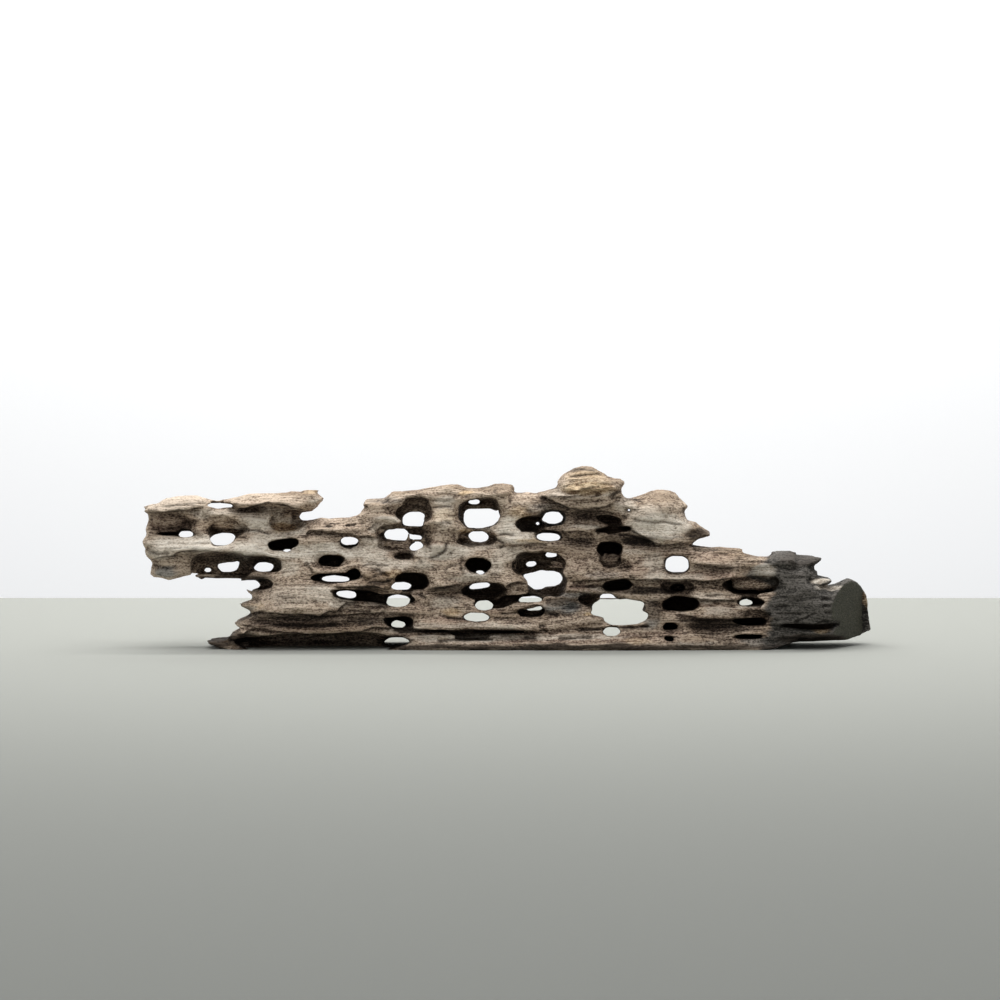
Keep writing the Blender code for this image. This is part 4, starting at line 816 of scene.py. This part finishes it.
def sawn_share(points, normals):
    """1 on the flat sawn end, 0 elsewhere."""
    flat = np.clip((normals @ saw_out - 0.8) * 8, 0, 1)
    beyond = ((points - saw_point) @ saw_out) / MM
    return flat * np.clip(2.2 - np.abs(beyond), 0, 1)


points = of_points(wood.data, "co")
normals = of_points(wood.data, "normal")
x, y, z = in_drawing(points)
level = grain_level(x, y, z)
layers = 2.4 * streaks(x, y, level, 48, 8, 5) + 0.25 * streaks(x, y, z, 6, 3, 8)
terrace = np.floor(layers) + np.clip((layers - np.floor(layers)) * 6 - 5, 0, 1)
fibres = np.clip(1 - np.abs(streaks(x, y, level, 40, 2.2, 11)) * 3.2, 0, 1)
facing = np.clip(-normals[:, 1] * 2, 0, 1)
knots = patches(x, z, KNOTTY) * facing
flakes = patches(x, z, FLAKY) * facing
relief = (0.1 + 0.4 * flakes) * (scoops(x, y, level, 24, 9, 1) - 0.6)
relief += (0.1 + 0.8 * flakes) * (0.8 * terrace - 0.8 * fibres) - 0.16 * fibres
relief += 0.12 * streaks(x, y, level, 44, 3.2, 23) + 0.12 * streaks(x, y, level, 32, 1.7, 27)
relief += knots * (1.1 * streaks(x, y, z, 8, 6, 31) + 0.8 * streaks(x, y, z, 4.5, 3.4, 37))
sawn = sawn_share(points, normals)
relief = relief * (1 - sawn) + 0.12 * sawn * streaks(x, y, z, 9, 1.4, 71)
off_ground = np.clip(points[:, 2] / FOOT, 0, 1)
move_points(wood.data, points + normals * (relief * off_ground * MM)[:, None])

# The front keeps more of its triangles than the plainer back.
plain = wood.vertex_groups.new(name="plain")
wood.data.update()
behind = np.clip(of_points(wood.data, "normal")[:, 1] * 1.2 + 0.2, 0.1, 1)
for share in range(1, 11):
    plain.add(np.flatnonzero(np.ceil(behind * 10) == share).tolist(), share / 10, "REPLACE")
thin = wood.modifiers.new("thin", "DECIMATE")
thin.ratio = TRIANGLES / (2 * len(wood.data.polygons))
thin.vertex_group = "plain"
thin.vertex_group_factor = 2e-5
applied(wood)


def drop_crumbs(obj):
    """Deletes every loose part but the largest."""
    bm = bmesh.new()
    bm.from_mesh(obj.data)
    left = set(bm.verts)
    bodies = []
    while left:
        body = [left.pop()]
        for vert in body:
            for edge in vert.link_edges:
                other = edge.other_vert(vert)
                if other in left:
                    left.discard(other)
                    body.append(other)
        bodies.append(body)
    bodies.sort(key=len)
    for crumb in bodies[:-1]:
        bmesh.ops.delete(bm, geom=crumb, context="VERTS")
    bm.to_mesh(obj.data)
    bm.free()


drop_crumbs(wood)
wood.data.shade_smooth()

# Tints of the wood's surface: the middle, half-size and amount of each patch. The dark patches are painted
# shade and shadow; the pale and brown patches are partly the wood's own colour and partly painted light and
# shade. In the lit patches no hollow is darkened, so they are painted light.
TINTS = {
    # Partly the wood's bleached colour, partly painted light that lifts places lying in shade.
    "pale_and_painted_light": [
        (-165, 90, 40, 8, 1), (10, 108, 20, 12, 0.9), (-40, 8, 60, 4, 0.8), (190, 34, 30, 5, 0.4),
        (190, 46, 24, 5, 0.4), (84, 148, 20, 6, 0.8), (244, 72, 12, 8, 0.6), (-120, 114, 14, 6, 0.5),
        (-50, 7, 50, 5, 0.5), (140, 102, 12, 5, 0.5), (20, 102, 14, 5, 0.5), (90, 54, 16, 4, 0.5),
        (166, 66, 12, 4, 0.5), (-250, 92, 18, 10, 1), (-225, 102, 24, 8, 0.8), (-222, 78, 14, 6, 0.6),
        (-120, 78, 14, 6, 0.6), (-160, 42, 16, 6, 0.6), (-130, 100, 14, 6, 0.5), (-180, 136, 12, 6, 0.5),
        (-60, 138, 10, 6, 0.6), (-20, 114, 10, 6, 0.5), (20, 114, 12, 6, 0.6), (-330, 90, 16, 8, 0.6),
        (-120, 44, 14, 6, 0.5), (-318, 137, 34, 11, 0.2), (-300, 98, 48, 9, 1), (-268, 123, 24, 9, 0.5),
        (-238, 116, 18, 8, 0.9), (-204, 112, 16, 8, 0.8), (-113, 121, 20, 4, 0.7), (-215, 91, 40, 8, 1),
        (-165, 93, 34, 7, 0.9), (-205, 48, 30, 12, 0.3), (-176, 48, 14, 8, 0.5), (-128, 88, 16, 14, 0.8),
        (2, 114, 16, 12, 0.9), (8, 103, 24, 5, 0.6), (144, 116, 34, 14, 0.9), (132, 124, 22, 12, 0.4),
        (-30, 68.6, 16, 3, 0.9), (-64, 90, 34, 8, 0.9), (-108, 79, 20, 6, 0.7), (-60, 126, 10, 16, 0.6),
        (-60, 43, 14, 6, 0.5), (-40, 20, 76, 3, 0.4), (-20, 9.4, 60, 2.4, 0.8), (60, 9, 60, 3, 0.6),
        (190, 49, 18, 4, 0.3), (297, 62.6, 9, 2.6, 0.9), (306, 56, 18, 2.6, 0.5), (230, 38, 16, 2, 0.7),
        (60, 146, 30, 6, 0.4), (120, 91, 14, 4, 0.4), (74, 114, 18, 3, 0.6), (-190, 85, 8, 8, 0.6),
        (26, 51, 8, 3, 0.5), (-210, 75, 12, 8, 0.5), (140, 79, 12, 12, 0.5), (-40, 64, 20, 3, 0.5),
        (-100, 16, 18, 4, 0.5), (112, 134, 12, 9, 0.5), (-210, 115, 18, 9, 0.9), (-226, 126, 14, 8, 0.5),
        (70, 152, 26, 5, 0.5), (-80, 78, 10, 6, 0.6), (0, 88, 20, 8, 0.5), (-180, 54, 18, 6, 0.6),
        (-290, 126, 14, 6, 0.5), (160, 66, 14, 3, 0.5), (-30, 95, 30, 4, 0.5), (140, 67, 12, 4, 0.6),
        (180, 66, 12, 3, 0.4), (-30, 74, 16, 6, 0.4), (-246, 118, 14, 10, 0.6), (-12, 78, 10, 10, 0.5),
    ],
    "golden": [
        (76, 160, 24, 9, 0.45), (76, 151, 30, 8, 0.8), (-188, 147.4, 8, 2, 0.4), (-55, 32, 11, 5, 0.6),
        (-40, 147, 7, 1.8, 0.8), (-40, 110, 10, 2.4, 0.6), (20, 100.6, 18, 2, 0.6), (77, 31.4, 5, 1.6, 0.9),
        (-270, 5.4, 7, 1.6, 0.9), (-262, 1.4, 6, 1.4, 0.9), (-212, 114, 16, 6, 0.8), (298, 15, 9, 3, 0.4),
        (180, 35, 12, 6, 0.3), (-60, 8, 7, 2, 0.4), (122, 5, 16, 4, 0.3), (-108, 70, 10, 5, 0.4),
        (341, 50, 5, 16, 0.4), (12, 126, 12, 10, 0.4), (-60, 125, 12, 8, 0.4), (-242, 38, 10, 4, 0.3),
        (-270, 120, 20, 8, 0.3),
    ],
    "slate": [
        (-325, 71, 13, 6, 0.8), (-10, 152, 17, 4, 0.8), (52, 38, 22, 8, 0.9), (136, 30, 13, 16, 0.7),
        (142, 110, 26, 2.4, 0.6), (148, 104, 24, 2.4, 0.5), (-118, 139, 20, 4, 0.5), (-245, 37, 6, 3, 0.8),
        (234, 4, 18, 5, 0.6), (62, 49, 18, 3, 0.7), (178, 3, 24, 3, 0.4), (90, 68, 20, 4, 0.3),
        (30, 132, 12, 5, 0.4),
    ],
    # Partly the wood's darker brown, partly painted shade under the knob and ledges and in concave places.
    "brown_and_painted_shade": [
        (-200, 153, 50, 6, 0.7), (-110, 154, 30, 6, 0.6), (182, 114, 14, 8, 0.9), (-40, 20, 16, 5, 0.6),
        (182, 18, 12, 6, 0.6), (180, 7, 16, 5, 0.6), (-210, 151, 26, 5, 0.8), (0, 148, 16, 6, 0.7),
        (-124, 152, 20, 5, 0.6), (180, 112, 14, 8, 0.8), (124, 140, 14, 8, 0.5), (-210, 46, 24, 8, 0.5),
        (200, 56, 18, 6, 0.6), (-20, 32, 14, 6, 0.6), (-104, 66, 12, 6, 0.6), (44, 42, 14, 6, 0.6),
        (-124, 136, 12, 6, 0.5), (78, 168, 36, 8, 0.9), (-194, 148, 34, 6, 0.9), (-104, 150, 34, 6, 0.9),
        (-10, 154, 60, 8, 1), (146, 147, 36, 12, 0.8), (228, 92, 46, 9, 1), (214, 84, 30, 5, 0.5),
        (-122, 139, 16, 6, 0.5), (-122, 63, 24, 14, 1), (-80, 108, 12, 12, 0.7), (44, 91, 16, 7, 0.8),
        (64, 90, 16, 8, 0.5), (214, 52, 10, 5, 0.3), (10, 31, 56, 6, 0.7), (-90, 31, 22, 6, 0.6),
        (-170, 18, 50, 8, 0.7), (44, 116, 12, 4, 0.8), (96, 104, 14, 12, 0.6), (232, 74, 18, 12, 0.6),
        (210, 40, 20, 6, 0.4), (40, 66, 12, 8, 0.4), (-288, 116, 10, 8, 0.6), (66, 64, 16, 5, 0.7),
        (20, 54, 14, 4, 0.5), (104, 162, 14, 8, 0.8), (40, 148, 14, 5, 0.9), (14, 68, 10, 8, 0.6),
        (98, 80, 14, 10, 0.5), (242, 16, 14, 6, 0.6), (30, 102, 14, 6, 0.4), (140, 34, 14, 12, 0.8),
        (222, 40, 12, 8, 0.5),
    ],
    # Painted shade: shadow under ledges, overhangs and the burl's folds, in deep recesses, and along the
    # foot.
    "painted_shade": [
        (58, 42, 16, 6, 0.3), (-262, 65, 46, 5, 1), (-256, 82, 38, 8, 0.7), (-298, 86, 10, 6, 0.6),
        (-190, 0, 100, 8, 0.9), (-196, 23, 60, 5, 0.5), (-200, 28, 48, 3, 0.7), (40, -1, 290, 3.8, 1),
        (-264, 6, 34, 9, 1), (-310, 108, 22, 3, 0.7), (-108, 5, 20, 6, 1), (180, 106, 12, 8, 0.9),
        (300, 7, 52, 6, 0.9), (46, 131, 14, 6, 0.6), (76, 126, 28, 5, 0.55), (72, 100, 14, 4, 0.5),
        (198, 75, 24, 3, 0.6), (-130, 25, 26, 5, 0.7), (54, 45, 22, 3, 0.7), (-134, 54, 16, 4, 0.8),
        (-92, 114, 18, 5, 0.5), (-79, 102, 6, 9, 0.5), (100, 103, 12, 5, 0.6), (122, 101.5, 18, 5.4, 1),
        (140, 52.8, 34, 4.2, 0.9), (-44, 53, 14, 4, 0.6), (197, 21, 32, 6, 0.85), (-106, 29, 18, 4, 0.5),
        (144, 60, 70, 2.2, 0.4), (222, 31, 12, 3, 0.6), (-124, 61, 10, 2.6, 0.8), (-144, 67, 8, 3, 0.6),
        (-111, 64, 5, 3, 0.6), (-128, 73, 8, 2, 0.5), (-300, 88, 8, 5, 0.6), (185, 108, 14, 5, 0.6),
        (42, 110, 18, 2.6, 0.6), (280, 84, 26, 9, 0.5), (-58, 55, 20, 3.4, 0.8), (140, 32, 8, 14, 0.4),
        (205, 6, 10, 4, 0.3),
    ],
    "ruddy": [
        (-272, 120, 18, 8, 0.4), (-72, 92, 16, 10, 0.5), (-190, 18, 70, 7, 0.5), (200, 68, 34, 6, 0.5),
        (190, 36, 30, 7, 0.5), (198, 85, 30, 6, 0.5), (-20, 34, 20, 3, 0.6), (130, 75, 18, 12, 0.5),
        (170, 30, 14, 4, 0.5), (68, 57, 16, 3, 0.8), (-60, 24, 30, 5, 0.5), (30, 8, 170, 6, 0.5),
        (-322, 117, 30, 10, 0.4), (-118, 88, 8, 4, 0.4), (-126, 122, 8, 4, 0.4), (150, 13, 30, 4, 0.4),
        (95, 53, 18, 2, 0.6), (60, 81, 20, 14, 0.3), (100, 120, 14, 6, 0.4), (160, 88, 30, 4, 0.4),
    ],
    # Painted light: these patches keep the hollows' painted shade off, so the places read as lit.
    "lit": [
        (-258, 88, 14, 8, 0.8), (-16, 140, 10, 8, 0.6), (76, 150, 30, 8, 0.6), (-220, 30, 40, 6, 0.5),
        (-60, 52, 12, 5, 0.5), (-212, 118, 30, 16, 1), (-330, 118, 32, 9, 0.8), (-104, 95, 22, 6, 0.6),
        (160, 78, 15, 11, 0.8), (-266, 113, 18, 7, 0.7), (-30, 69, 14, 4, 0.6), (341, 40, 10, 30, 0.4),
        (98, 80, 11, 7, 0.5), (236, 60, 24, 8, 0.9), (22, 31, 14, 5, 0.6), (162, 54, 17, 5, 0.7),
        (-166, 77, 16, 4, 0.7), (-151, 94.6, 10, 4, 0.5), (38, 113, 16, 3, 0.5), (28, 56, 20, 4, 0.4),
        (70, 100, 16, 8, 0.6), (80, 122, 26, 6, 0.6), (-30, 98, 18, 4, 0.6), (-100, 40, 16, 3, 0.5),
    ],
}
SKY_RAYS = 16  # how many ways each point looks out, and how far, in metres
SKY_REACH = 0.045
LEVEL_SPAN = 240.0  # the range of the grain's level, in millimetres, that an attribute from 0 to 1 covers

# The left border of the charred end, from the ground up, and the width over which it fades.
CHARRED_FADE = 5
CHARRED_EDGE_Z = [0, 8, 9, 19, 26, 31, 36, 45, 50, 56, 60, 66, 73, 80, 84, 92]
CHARRED_EDGE_X = [240, 240, 248, 248, 250, 246, 243, 246, 254, 250, 244, 228, 232, 242, 248, 246]


def set_attribute(mesh, name, values):
    """Writes a value from 0 to 1 at each point, which the material reads by its name."""
    attribute = mesh.attributes.new(name, "FLOAT", "POINT")
    attribute.data.foreach_set("value", np.clip(values, 0, 1).astype(np.float32))


def openness(mesh, rays, reach):
    """The share of the sky over each point that nothing near it hides."""
    tree = BVHTree.FromPolygons([v.co for v in mesh.vertices], [p.vertices for p in mesh.polygons])
    golden = math.pi * (3 - math.sqrt(5))
    spread = []
    for i in range(rays):
        up = (i + 0.5) / rays
        side = math.sqrt(1 - up * up)
        spread.append(Vector((side * math.cos(i * golden), side * math.sin(i * golden), up)))
    open_share = np.empty(len(mesh.vertices))
    for vert in mesh.vertices:
        turn = vert.normal.to_track_quat("Z", "X")
        start = vert.co + vert.normal * 0.0006
        clear = sum(1 for ray in spread if tree.ray_cast(start, turn @ ray, reach)[0] is None)
        open_share[vert.index] = clear / rays
    return open_share


def blurred(mesh, values, passes):
    """One row of values for each point, averaged with its neighbours' rows a number of times."""
    edges = np.empty(len(mesh.edges) * 2, np.int64)
    mesh.edges.foreach_get("vertices", edges)
    start, end = edges.reshape(-1, 2).T
    count = np.bincount(start, minlength=len(values)) + np.bincount(end, minlength=len(values))
    for _ in range(passes):
        total = np.zeros_like(values)
        np.add.at(total, start, values[end])
        np.add.at(total, end, values[start])
        values = total / count[:, None]
    return values


points = of_points(wood.data, "co")
normals = of_points(wood.data, "normal")
x, y, z = in_drawing(points)
tint_wander = 3 * streaks(x, y, z, 14, 5, 61)
# How far each point stands out: the material paints ridges paler, as wear with a painted highlight, and
# creases darker, as painted shade.
standing_out = ((points - blurred(wood.data, points, 5)) * normals).sum(1) / MM
set_attribute(wood.data, "ridge", 0.5 + standing_out * 0.7)
# Paler towards the top and the left end: partly weathering, partly painted light from above.
set_attribute(wood.data, "bleach_and_top_light", z / 130 * np.interp(x, [-240, -160], [1, 0.4]))
set_attribute(wood.data, "level", grain_level(x, y, z) / LEVEL_SPAN + 0.2)
# Painted shade in narrow cracks and painted shadow right under the ledges, on the front only.
set_attribute(wood.data, "crack_shade", painted_crack_shade(*wandered(x, y, z)) * np.clip((5 - y) / 10, 0, 1))
# How open each point is to the sky, which the material turns into painted shade in enclosed places.
open_share = openness(wood.data, SKY_RAYS, SKY_REACH)
set_attribute(wood.data, "open", blurred(wood.data, open_share[:, None], 2)[:, 0])
for tint, spots in TINTS.items():
    set_attribute(wood.data, tint, patches(x + tint_wander, z + tint_wander * 0.5, spots))
past_edge = x + tint_wander - np.interp(z, CHARRED_EDGE_Z, CHARRED_EDGE_X)
set_attribute(wood.data, "charred", past_edge / CHARRED_FADE + 0.5)
set_attribute(wood.data, "sawn", sawn_share(points, normals))

# Bogwood, dried and weathered: dull, with pale worn ridges that carry painted highlights, and dark hollows
# that are partly stained and partly painted shade.
grain = bpy.data.materials.new("weathered_bogwood")
grain.use_nodes = True
tree = grain.node_tree
shader = tree.nodes["Principled BSDF"]
shader.inputs["Roughness"].default_value = 0.82
shader.inputs["Specular IOR Level"].default_value = 0.25
place = add_node(tree, "TexCoord").outputs["Object"]


def spotted(name, sizes, detail, place):
    """Noise with spots of the given size in millimetres along each axis."""
    scaled = add_node(tree, "Mapping", {"Vector": place, "Scale": [1000 / size for size in sizes]})
    inputs = {"Vector": scaled.outputs["Vector"], "Scale": 1.0, "Detail": detail, "Roughness": 0.65}
    texture = add_node(tree, "TexNoise", inputs, label=name)
    return texture.outputs["Fac"]


def attribute(name):
    return add_node(tree, "Attribute", attribute_name=name).outputs["Fac"]


def calculated(operation, first, second):
    return add_node(tree, "Math", {0: first, 1: second}, operation=operation).outputs["Value"]


def added(*terms):
    """The sum of some values, each times its weight."""
    total = 0
    for value, weight in terms:
        total = calculated("ADD", total, calculated("MULTIPLY", value, weight))
    return total


def between(value, low, high):
    """The value, stretched so that low gives 0 and high gives 1, and held between them."""
    return add_node(tree, "MapRange", {"Value": value, "From Min": low, "From Max": high}).outputs["Result"]


def coloured(value, colours):
    """A colour ramp with evenly spaced hex colours."""
    ramp = add_node(tree, "ValToRGB", {"Fac": value})
    stops = ramp.color_ramp.elements
    while len(stops) < len(colours):
        stops.new(0.5)
    for i, colour in enumerate(colours):
        stops[i].position = i / (len(colours) - 1)
        stops[i].color = linear(colour)
    return ramp.outputs["Color"]


def mixed(share, first, second):
    return add_node(tree, "Mix", {0: share, 6: first, 7: second}, data_type="RGBA").outputs[2]


# The grain bends round the borings: along it, the height is swapped for the grain's own level.
axes = add_node(tree, "SeparateXYZ", {"Vector": place}).outputs
level = calculated("MULTIPLY", attribute("level"), LEVEL_SPAN * MM)
run = add_node(tree, "CombineXYZ", {"X": axes["X"], "Y": axes["Y"], "Z": level}).outputs["Vector"]

# The tints in the order in which one lies over the other, with the most of each and its colours.
COATS = [
    ("ruddy", 0.8, ["#3a2c25", "#84695b", "#b89d8a"]),
    ("slate", 1, ["#2b2a2a", "#62625f", "#96948f"]),
    ("brown_and_painted_shade", 0.85, ["#241a12", "#5c4a39", "#97826b"]),
    ("charred", 1, ["#1b1916", "#3a3732", "#65605a"]),
    ("pale_and_painted_light", 1, ["#8d7e6e", "#d0c2b0", "#eee4d5"]),
    ("golden", 1, ["#5d452f", "#a5855f", "#d9bf98"]),
]

fibre = spotted("fibre", (60, 8, 3.2), 4.0, run)
hairs = spotted("hairs", (32, 5, 1.5), 3.0, run)
strands = spotted("strands", (44, 9, 2.6), 1.0, run)
torn = spotted("torn", (18, 8, 7), 2.0, run)
blotch = spotted("blotch", (60, 30, 22), 3.0, place)
speck = spotted("speck", (2.4, 2.4, 1.4), 2.0, place)
fissure = calculated("ABSOLUTE", calculated("SUBTRACT", strands, 0.5), 0)
fissure = calculated("MULTIPLY", between(fissure, 0.028, 0.0), between(torn, 0.48, 0.6))
# The open term paints shade into enclosed places, the ridge term paints highlights on ridges and shade in
# creases, and the bleached term is partly painted light from above.
tone = added(
    (fibre, 0.3), (hairs, 2.4), (speck, 3.4), (between(attribute("open"), 0.35, 0.95), 0.45),
    (attribute("ridge"), 0.5), (blotch, 0.35), (attribute("bleach_and_top_light"), 0.22),
)
tone = between(tone, 3.02, 4.32)
colour = coloured(tone, ["#33261b", "#706054", "#a38f7b", "#ccb9a4"])
for tint, most, colours in COATS:
    colour = mixed(calculated("MULTIPLY", attribute(tint), most), colour, coloured(tone, colours))
# Stain and painted shade in the hollows, by how little sky they see, left out in the lit patches.
hollow = calculated("MAXIMUM", between(attribute("open"), 0.03, 0.36), attribute("lit"))
colour = mixed(hollow, linear("#34281d"), colour)
# Painted shade: the dark patches take a near-black brown that stands in for shadow.
painted_shade_colour = coloured(tone, ["#120d09", "#261d16", "#3c3127"])
colour = mixed(calculated("MULTIPLY", attribute("painted_shade"), 0.92), colour, painted_shade_colour)
# Painted shade in cracks and painted shadow under ledges, joined with the fine fissures of the grain.
cracks = calculated("MULTIPLY", attribute("crack_shade"), 0.75)
split_and_crack_shade = calculated("MAXIMUM", cracks, calculated("MULTIPLY", fissure, 0.45))
colour = mixed(split_and_crack_shade, colour, linear("#1a130d"))
end_grain = coloured(added((speck, 1.4), (-0.2, 1)), ["#2a2a23", "#454439", "#5f5b4e"])
colour = mixed(attribute("sawn"), colour, end_grain)
tree.links.new(colour, shader.inputs["Base Color"])
height = added((fibre, 0.7), (hairs, 1.6), (speck, 1), (fissure, -0.4))
bump = add_node(tree, "Bump", {"Height": height, "Strength": 0.9, "Distance": 0.0012})
tree.links.new(bump.outputs["Normal"], shader.inputs["Normal"])
wood.data.materials.clear()
wood.data.materials.append(grain)

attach(wood, "root")
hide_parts("honeycomb_wood")
